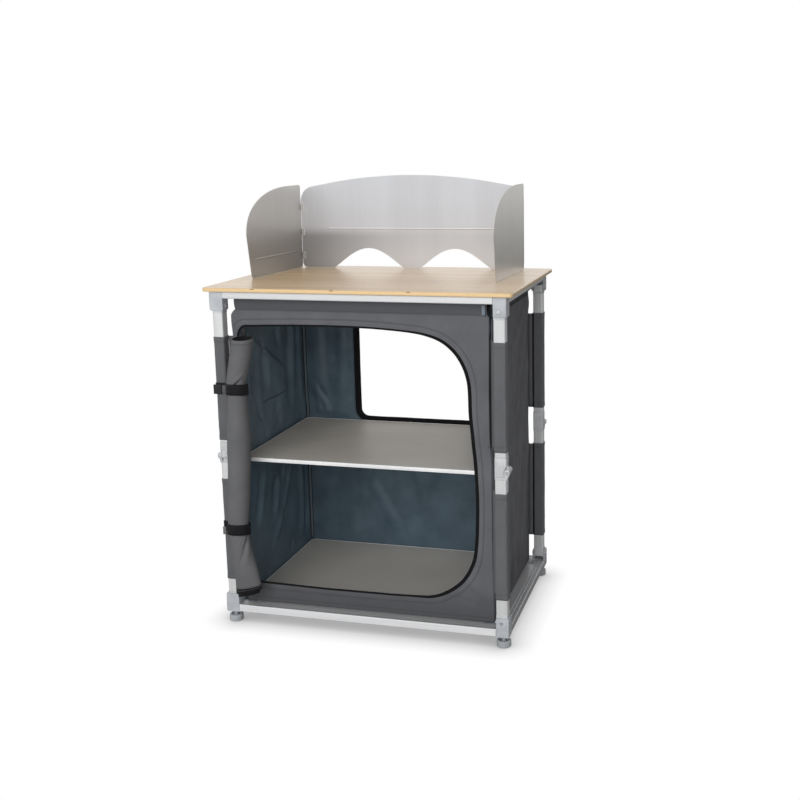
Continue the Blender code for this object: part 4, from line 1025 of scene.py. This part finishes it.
def makeWebs(side):
    # Cloth webs with a black seam that tie the wall's ends to the sleeves of the legs beside it
    along, outward, distance, half, rail = wallPlaces[side]
    made = []
    for label, (start, end), finish in zip(("Seams", "Webs"), webs[side], (webbing, sleeveCloth)):
        drawn = webs["drawn"] if (side, label) == ("front", "Webs") else 0
        points, quads, uvs = [], [], []
        for corner, part in [(c, part) for c in corners if side in c for part in ("lower", "upper")]:
            legX, spans = webSpans(corner, part, label)
            for bottom, top in spans:
                heights = np.linspace(bottom, top, max(3, int((top - bottom) / webs["step"])))
                quads += gridQuads(len(heights), 3, start=len(points))
                for z in heights:
                    for t in (0, 0.5, 1):
                        x = half + start + (end - start) * t
                        wave = 0.6 + 0.4 * noise.noise(Vector((x * 9, z * 30, 2.0)))
                        sag = webs["sag"] * math.sin(math.pi * t) * wave - drawn * t
                        points.append((math.copysign(x, legX), outward.y * (distance - 0.0002 - sag) + midY, z))
                        uvs.append((x, z))
        piece = clothMesh(camel("cover" + label + "_" + side), points, quads, uvs, (finish,),
                          webs["skin"], np.full(len(points), 0.5), np.array(points)[:, 2])
        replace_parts(softPiece(piece), "cover_" + side)
        made.append(piece)
    return made


def makeOpenWall(side, outline, shares):
    # Rings of points from the opening's outline to the wall's own, at shares of the way
    half = wallPlaces[side][3] + cover["skin"]
    outline = np.array(outline)
    edge = evenly(outline, step=opening["edgeStep"])[0]
    outer = outerEdge(half, opening["outlineStep"])
    middle = (outline.min(0) + outline.max(0)) / 2
    inner = np.array([alongRay(middle, p, outline) for p in outer])
    flat = np.array([inner + (outer - inner) * share for share in shares])
    distance = np.linalg.norm(flat - inner, axis=2)
    away = np.array([np.linalg.norm(ring[:, None] - edge[None], axis=2).min(1) for ring in flat])
    distance = np.minimum(distance, away) - tapeWidth(side, inner[:, 0])
    u, z = flat[:, :, 0], flat[:, :, 1]
    if side == "front":
        # the front panel's own edges wander, and its top strip is narrower
        atRight, atLeft = [np.interp(z, *zip(*opening[edge])) for edge in ("rightEdge", "leftEdge")]
        wander = np.where(u > 0, atRight, atLeft)
        wander = wander + opening["shoulder"] * smoothStep(z, 0.7415, 0.7520) * (u < 0) \
            - opening["shoulderRight"] * smoothStep(z, 0.7470, 0.7540) * (u > 0)
        u = u + wander * smoothStep(np.abs(u), opening["edgeBand"], half)
    offset = wallOffset(side, u, z) + cover["skin"] / 2
    if side == "front":
        beside, reach, rise = opening["puff"]
        offset = offset - opening["press"] * (1 - smoothStep(distance, -0.0004, 0.0004)) \
            + rise * bell(distance, beside, reach)
    piece = clothMesh(camel("cover_" + side), onWall(side, u, z, offset),
                      [quad[::-1] for quad in gridQuads(len(flat), len(outer), closed=True)],
                      np.column_stack((u.ravel(), z.ravel())), wallFinishes(side),
                      cover["skin"], distance, np.tile(lengthsAlong(inner), len(flat)))
    dressCloth(piece, "cover_" + side,
               withPieces=makeWebs(side))


makeOpenWall("front", doorEdge(), opening["doorRings"])
makeOpenWall("rear", windowEdge(), np.linspace(0, 1, opening["windowRings"]))
makePlainWall("right")
makePlainWall("left")
print("cover walls made")


# Floor of the cover

coverFloor = {"lift": 0.0013, "skin": 0.0008, "columns": 61, "rows": 41}


def makeCoverFloor():
    x, y = np.meshgrid(np.linspace(floorLow.x, floorHigh.x, coverFloor["columns"]),
                       np.linspace(floorLow.y, floorHigh.y, coverFloor["rows"]))
    z = floorLow.z + coverFloor["lift"] + crumple(x, y, 2.2, 0.08, 0.08, 0.0003)
    finishes = (clothFinish("coatingFloor", clothColours["inner"], "shiny"),
                clothFinish("clothFloor", clothColours["outer"]))
    piece = clothMesh("coverFloor", np.column_stack((x.ravel(), y.ravel(), z.ravel())), gridQuads(*x.shape),
                      np.column_stack((x.ravel(), y.ravel())), finishes, coverFloor["skin"])
    dressCloth(piece, "cover_floor")


makeCoverFloor()


# Leg sleeves: stitched cloth tubes with a turned hem at both ends

def sleeveRing(x, y, reachX, reachY, radius, count):
    return evenly(np.array(roundedBox(x - reachX, x + reachX, y - reachY, y + reachY, radius, 6)), count)


def makeSleeve(part, corner, seed):
    node, body = part + "_sleeve_" + corner, part + "_leg_" + corner
    low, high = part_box(node)
    middle, reach = (low + high) / 2, (high - low) / 2
    count, rows = sleeve["points"], sleeve["rows"]
    points, uvs, edges = [], [], []
    for z in np.linspace(low.z, high.z, rows):
        nearEnd = min(z - low.z, high.z - z)
        hem = sleeve["bulge"] * (1 - float(smoothStep(nearEnd, sleeve["hem"] - 0.001, sleeve["hem"] + 0.001)))
        ring, places, around = sleeveRing(middle.x, middle.y, reach.x + hem, reach.y + hem, sleeve["round"],
                                          count)
        away = ring - np.array((middle.x, middle.y))
        away /= np.linalg.norm(away, axis=1)[:, None]
        turn = places / around * math.tau
        wave = crumple(seed + np.cos(turn), z + np.sin(turn) * 0.02, seed, 1.1, 0.05, sleeve["swell"])
        points += [(x, y, z) for x, y in ring + away * wave[:, None]]
        uvs += [(place, z) for place in places]
        edges += [nearEnd] * count
    piece = clothMesh(camel(node), points, gridQuads(rows, count, closed=True), uvs, (sleeveCloth,),
                      sleeve["skin"], edges, np.tile(places, rows))
    dressCloth(piece, node, body,
               keep=None)


for i, corner in enumerate(corners):
    makeSleeve("lower", corner, 1.7 * i + 0.4)
    makeSleeve("upper", corner, 2.3 * i + 5.1)
print("sleeves made")


# Rolled door: one sheet wound up, zip tape along both of its ends

sleeveLow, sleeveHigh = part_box("lower_sleeve_front_left")
legMiddle = (sleeveLow + sleeveHigh) / 2
roll = {
    # height, beside the leg, half width, half depth
    "rings": ((0.0880, 0.0520, 0.0345, 0.0150), (0.1320, 0.0492, 0.0322, 0.0200), (0.1790, 0.0396, 0.0297, 0.0240),
              (0.2235, 0.0344, 0.0259, 0.0255), (0.2585, 0.0344, 0.0259, 0.0255), (0.3220, 0.0398, 0.0280, 0.0275),
              (0.3910, 0.0444, 0.0283, 0.0280), (0.4380, 0.0463, 0.0290, 0.0285), (0.4820, 0.0482, 0.0279, 0.0275),
              (0.5565, 0.0487, 0.0243, 0.0243), (0.5915, 0.0487, 0.0243, 0.0243), (0.6350, 0.0584, 0.0263, 0.0263),
              (0.6930, 0.0704, 0.0266, 0.0266)),
    "y": -0.2467 + midY, "skew": 0.009, "nod": 0.002,
    "turns": 3.2, "perTurn": 72, "shrink": 0.13, "radius": 0.0272,  # points and loss of radius per turn
    "start": 100, "step": 0.008, "lift": 0.004,  # degrees where the free edge lies, drop of the inner turns' ends
    "tape": 0.0115, "hem": 0.010, "skin": 0.0009, "swell": 0.010,
    "keep": 0.088,  # of its height when folded, where it ends under the top rail; here it only asks for the roll's own mesh
    # creases: angle, height, angle, height, half width, depth; degrees and metres
    "creases": ((-40, 0.602, -92, 0.585, 0.0030, -0.0042), (-35, 0.612, -88, 0.595, 0.0040, 0.0026),
                (-1, 0.236, -110, 0.146, 0.0038, -0.0034), (-10, 0.212, -80, 0.150, 0.0080, 0.0024),
                (-110, 0.55, -80, 0.49, 0.005, -0.0014), (-60, 0.215, -95, 0.19, 0.004, 0.0014)),
}


def makeRoll():
    rings = np.array(smoothThrough(roll["rings"], 10))
    columns = int(roll["turns"] * roll["perTurn"]) + 1
    turn = np.arange(columns) / roll["perTurn"]
    angle = math.radians(roll["start"]) + turn * math.tau
    degrees = (np.degrees(angle) + 540) % 360 - 180
    shrink = 1 - roll["shrink"] * turn
    outerTurn = 1 - smoothStep(turn, 0.9, 1.1)
    innerTurns = smoothStep(turn, 0.95, 1.05)
    steps = roll["radius"] * shrink[:-1] * math.tau / roll["perTurn"]
    length = np.concatenate(([0], np.cumsum(steps)))
    low, high = rings[0][0], rings[-1][0]
    points, uvs, edges = [], [], []
    for z, beside, halfWidth, halfDepth in rings:
        fullness = shrink.copy()
        arc = math.radians(1) * halfWidth
        for a0, z0, a1, z1, width, depth in roll["creases"]:
            fullness += foldDepth(((a0 * arc, z0, a1 * arc, z1, width, depth),), degrees * arc,
                                  np.full(columns, z)) / halfWidth * outerTurn
        fullness += np.array([roll["swell"] * noise.noise(Vector((math.cos(a) * 1.4, math.sin(a) * 1.4, z * 16)))
                              for a in angle]) * outerTurn
        sideways, forward = fullness * np.cos(angle), fullness * np.sin(angle)
        toEnd = (z - low) / (high - low)
        drop = roll["step"] * innerTurns * (1 - smoothStep(toEnd, 0, 0.12))
        lift = -roll["lift"] * innerTurns * smoothStep(toEnd, 0.93, 1.0)
        height = z - drop + lift + roll["skew"] * sideways * (1 - smoothStep(toEnd, 0, 0.07)) \
            + roll["nod"] * forward * smoothStep(toEnd, 0.93, 1)
        points += list(zip(legMiddle.x + beside + halfWidth * sideways, roll["y"] + halfDepth * forward, height))
        uvs += list(zip(length, np.full(columns, z)))
        edges += list(np.where(turn > 1.02, 0, z - low))  # the inner turns are painted black all over with the tape's colour: painted shade inside the roll
    outer = clothFinish("rollCloth", clothColours["roll"], band=roll["tape"], rowAt=(roll["tape"] + 0.002,),
                        seams=(high - roll["hem"],), tapeLine=roll["tape"] * 0.58)
    # the roll's inside is painted near black: painted shade
    inner = clothFinish("rollCoating", clothColours["rollInsideShade"])
    piece = clothMesh("doorRoll", points, gridQuads(len(rings), columns), uvs, (outer, inner),
                      roll["skin"], edges, np.tile(length, len(rings)))
    dressCloth(piece, "door_roll",
               keep=roll["keep"])


makeRoll()
print("door roll made")


# Straps: each one belt round the roll and the leg, drawn in between them

def makeStrap(part):
    level = strap[part]
    rings = np.array(smoothThrough(roll["rings"], 6))
    beside, halfWidth, halfDepth = [float(np.interp(level, rings[:, 0], rings[:, i])) for i in (1, 2, 3)]
    grow = strap["clear"] + strap["skin"]
    cx, cy = legMiddle.x + beside, roll["y"]
    low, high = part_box(part + "_sleeve_front_left")
    legX, legY = (low.x + high.x) / 2, (low.y + high.y) / 2
    toLeg = math.degrees(math.atan2(legY - cy, legX - cx))
    wide, deep = halfWidth + grow, halfDepth + grow
    (rollPoints, legPoints), (rollOpen, legOpen) = strap["points"], strap["open"]
    path = [(cx + wide * x, cy + deep * y)
            for x, y in arcPoints(0, 0, 1, toLeg + rollOpen, toLeg + 360 - rollOpen, rollPoints)]
    d = Vector((legX - cx, legY - cy)).normalized()
    sideways = Vector((-d.y, d.x)) * strap["waist"]
    waist = Vector((cx, cy)).lerp(Vector((legX, legY)), strap["waistAt"])
    ring = sleeveRing(legX, legY, (high.x - low.x) / 2 + grow, (high.y - low.y) / 2 + grow, strap["round"],
                      legPoints)[0]
    turned = (np.degrees(np.arctan2(ring[:, 1] - legY, ring[:, 0] - legX)) - (toLeg + 180) + 720) % 360
    path += [tuple(waist - sideways)]
    path += [tuple(ring[i]) for i in np.argsort(turned) if legOpen < turned[i] < 360 - legOpen]
    path = np.array(path + [tuple(waist + sideways)])
    lengths = lengthsAlong(path)
    points, uvs = [], []
    for z in level + strap["width"] * (np.arange(strap["rows"]) / (strap["rows"] - 1) - 0.5):
        points += [(x, y, z - strap["tilt"] * (y - legY)) for x, y in path]
        uvs += [(length, z) for length in lengths]
    piece = clothMesh(camel("strap_" + part), points, gridQuads(strap["rows"], len(path), closed=True), uvs,
                      (webbing,), strap["skin"])
    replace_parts(softPiece(piece), "door_strap_" + part)


makeStrap("upper")
makeStrap("lower")
print("straps made")


# Small parts on the corner fittings and knees. Each corner's fork looks along X or Y.

legs = {}
for quarter, corner in enumerate(corners):
    tubeLow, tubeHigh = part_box("upper_leg_tube_" + corner)
    legs[corner] = ((tubeLow.x + tubeHigh.x) / 2, (tubeLow.y + tubeHigh.y) / 2, quarter * math.pi / 2)

screw = {"radius": 0.0040, "thick": 0.0008, "socket": 0.46, "star": 0.55, "deep": 0.0006, "rim": 0.00025,
         "topPin": 0.762, "lowPin": 0.060, "kneePin": 0.411, "kneeOut": 0.0148,
         "forkFace": 0.0172, "kneeFace": 0.0158}


def makeScrew():
    # Flat round head with a six-pointed socket, looking along -Y
    radius, thick = screw["radius"], screw["thick"]
    bpy.ops.object.select_all(action="DESELECT")
    bpy.ops.mesh.primitive_cylinder_add(vertices=24, radius=radius, depth=thick, end_fill_type="NGON",
                                        location=(0, 0, thick / 2))
    head = bpy.context.active_object
    onlyThis(head)
    bpy.ops.object.transform_apply(location=True, rotation=True, scale=True)
    inner = radius * (1 - screw["socket"]) * 1.05

    def onTop(vert, nearest, farthest):
        return vert.co.z > thick * 0.9 and nearest <= math.hypot(vert.co.x, vert.co.y) < farthest

    def isValley(vert):
        return onTop(vert, 0, inner) and round(math.degrees(math.atan2(vert.co.y, vert.co.x)) / 15) % 4 != 0

    bpy.ops.object.mode_set(mode="EDIT")
    pick(head, "faces", lambda face: face.normal.z > 0.9)
    bpy.ops.mesh.inset(thickness=radius * screw["socket"])
    pick(head, "verts", isValley)
    bpy.ops.transform.resize(value=(screw["star"],) * 2 + (1,), center_override=(0, 0, thick))
    pick(head, "faces", lambda face: face.normal.z > 0.9 and len(face.verts) == 24)
    bpy.ops.mesh.extrude_region_move(TRANSFORM_OT_translate={"value": (0, 0, -screw["deep"])})
    pick(head, "edges", lambda edge: all(onTop(vert, radius * 0.98, 1) for vert in edge.verts))
    bpy.ops.mesh.bevel(offset=screw["rim"], segments=2)
    bpy.ops.object.mode_set(mode="OBJECT")
    head.rotation_euler = (math.pi / 2, 0, 0)
    onlyThis(head)
    bpy.ops.object.transform_apply(location=False, rotation=True, scale=False)
    return head


plates = {
    # low and high corner on the outer face, rounded ends and their radius, the face's place
    "bottom": ((-0.0122, -0.0006, 0.0275), (0.0160, 0.0, 0.0692), ("top",), 0.0060, 0.0160),
    "top": ((-0.0122, -0.0006, 0.7535), (0.0160, 0.0, 0.7940), ("base",), 0.0045, 0.0160),
    "knee": ((-0.0112, -0.0005, 0.4010), (0.0070, 0.0, 0.4390), ("top", "base"), 0.0028, 0.0128),
}


def makePlate(low, high, ends, rounding):
    # A thin raised plate looking along -Y, with some of its ends' corners rounded
    plate = addBlock(low, high)

    def isRounded(edge):
        a, b = edge.verts[0].co, edge.verts[1].co
        return abs(a.y - b.y) > 1e-5 and ("top" if a.z > (low[2] + high[2]) / 2 else "base") in ends

    bpy.ops.object.mode_set(mode="EDIT")
    pick(plate, "edges", isRounded)
    bpy.ops.mesh.bevel(offset=rounding, segments=5)
    pick(plate, "faces", lambda face: face.normal.y < -0.9)
    bpy.ops.mesh.inset(thickness=0.0004)
    bpy.ops.transform.translate(value=(0, -0.0002, 0))
    bpy.ops.object.mode_set(mode="OBJECT")
    return plate


def placeCopies(master, places, name, body, finish):
    # places: (corner, 1 for the outer face or -1 for the inner one, along, out, height)
    copies = []
    for corner, face, along, out, height in places:
        twin = master.copy()
        twin.data = master.data.copy()
        bpy.context.scene.collection.objects.link(twin)
        x, y, turn = legs[corner]
        spot = Matrix.Rotation(turn, 4, "Z") @ Matrix.Translation((along, -out * face, 0))
        if face < 0:
            spot = spot @ Matrix.Rotation(math.pi, 4, "Z")
        twin.matrix_world = Matrix.Translation((x, y, height)) @ spot
        copies.append(twin)
    onlyThis(copies[0])
    for twin in copies:
        twin.select_set(True)
    if len(copies) > 1:
        bpy.ops.object.join()
    finishPiece(bpy.context.active_object, name, body, finish)


head = makeScrew()
for label, pin in (("top", "topPin"), ("bottom", "lowPin")):
    places = [(corner, face, 0, screw["forkFace"], screw[pin]) for corner in corners for face in (1, -1)]
    placeCopies(head, places, label + "Screws", label + "_frame", "screw")
for corner in corners:
    places = [(corner, face, screw["kneeOut"], screw["kneeFace"], screw["kneePin"]) for face in (1, -1)]
    placeCopies(head, places, camel("kneeScrews_" + corner), "lower_leg_" + corner, "screw")
bpy.data.objects.remove(head)

for label, (*shape, face) in plates.items():
    master = makePlate(*shape)
    places = [(corner, 1, 0, face, 0) for corner in corners]
    if label == "knee":
        for place in places:
            placeCopies(master, [place], camel("kneePlate_" + place[0]), "upper_leg_" + place[0], "knee")
    else:
        placeCopies(master, places, label + "CornerPlates", label + "_frame", "fitting")
    bpy.data.objects.remove(master)

collar = {"grow": 0.00042, "wall": 0.00036, "round": 0.003, "top": (0.7455, 0.7518), "bottom": (0.0702, 0.0762)}
for corner in corners:
    for label, part in (("top", "upper"), ("bottom", "lower")):
        low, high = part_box(part + "_leg_tube_" + corner)
        grow = Vector((collar["grow"], collar["grow"], 0))
        base, crown = collar[label]
        rim = addRim(Vector((low.x, low.y, base)) - grow, Vector((high.x, high.y, crown)) + grow,
                     collar["round"], collar["wall"])
        finishPiece(rim, camel(label + "Collar_" + corner), part + "_leg_" + corner, "knee")
print("screws, plates and collars made")


# Bindings in the cover's corners, loops that carry the middle shelf, strap tabs and the zip's puller

binding = {"width": 0.0062, "clear": 0.0008, "skin": 0.0008, "edge": 0.0014, "base": 0.058, "belowHem": 0.006}


def makeBinding():
    flat = binding["width"]
    heights = np.linspace(binding["base"], cover["hemStart"] - binding["belowHem"], 60)
    points, quads, uvs, edges = [], [], [], []
    for signX, signY in ((1, 1), (1, -1), (-1, 1), (-1, -1)):
        quads += gridQuads(len(heights), 4, start=len(points))
        for z in heights:
            clear = binding["clear"] + float(cornerPull(np.array(1.0), z, 0.5))
            for t in (0, 0.33, 0.67, 1):
                x, y = halfX - clear - flat * (1 - t), halfY - clear - flat * t
                points.append((signX * x, signY * y + midY, z))
                uvs.append((t * flat * 1.4, z))
                edges.append(min(t, 1 - t) * flat * 1.4)
    finish = clothFinish("bindingCloth", clothColours["binding"], band=binding["edge"])
    piece = clothMesh("coverBindings", points, quads, uvs, (finish,), binding["skin"], edges,
                      [p[2] for p in points])
    softPiece(piece)


makeBinding()

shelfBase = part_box("middle_shelf")[0].z
strips = {
    # low and high corner with Y from the worktop's middle, rounding, slot, finish;
    # one on the right has a twin on the left
    "shelfLoopRight": ((halfX - 0.0150, -0.177, shelfBase - 0.0016), (halfX - 0.0002, 0.177, shelfBase - 0.0004),
                       0.0003, "webbing", "loop"),
    "strapUpperTab": ((-0.3468, -0.2336, 0.5578), (-0.3266, -0.2300, 0.5802), 0.0010, "webbing", "loop"),
    "strapUpperKeeper": ((-0.3252, -0.2330, 0.5600), (-0.3140, -0.2300, 0.5792), 0.0008, "webbing", "keeper"),
    "strapLowerKeeper": ((-0.3440, -0.2330, 0.2180), (-0.3360, -0.2300, 0.2370), 0.0008, "webbing", "paleKeeper"),
    "cornerTabRight": ((0.2790, -0.2068, 0.0436), (0.3140, -0.1990, 0.0445), 0.0002, "cover", "cornerTab"),
    "zipPuller": ((-0.2798, -0.2110, 0.6925), (-0.2700, -0.2065, 0.7085), 0.0010, "webbing", "loop"),
    "cornerTabTop": ((0.2858, -0.2096, 0.7530), (0.2928, -0.2086, 0.7745), 0.0002, "cover", "cornerTab"),
}


def addStrip(name, lowX, highX, low, high, rounding, slotName, finish):
    strip = addBlock((lowX, low[1] + midY, low[2]), (highX, high[1] + midY, high[2]))
    edges = strip.modifiers.new("round", "BEVEL")
    edges.width, edges.segments = rounding, 2
    bpy.ops.object.modifier_apply(modifier="round")
    squashDown(finishPiece(strip, name, "bottom_frame", finish))


for name, (low, high, *facts) in strips.items():
    addStrip(name, low[0], high[0], low, high, *facts)
    if name.endswith("Right"):
        addStrip(name.replace("Right", "Left"), -high[0], -low[0], low, high, *facts)
print("bindings, loops and tabs made")
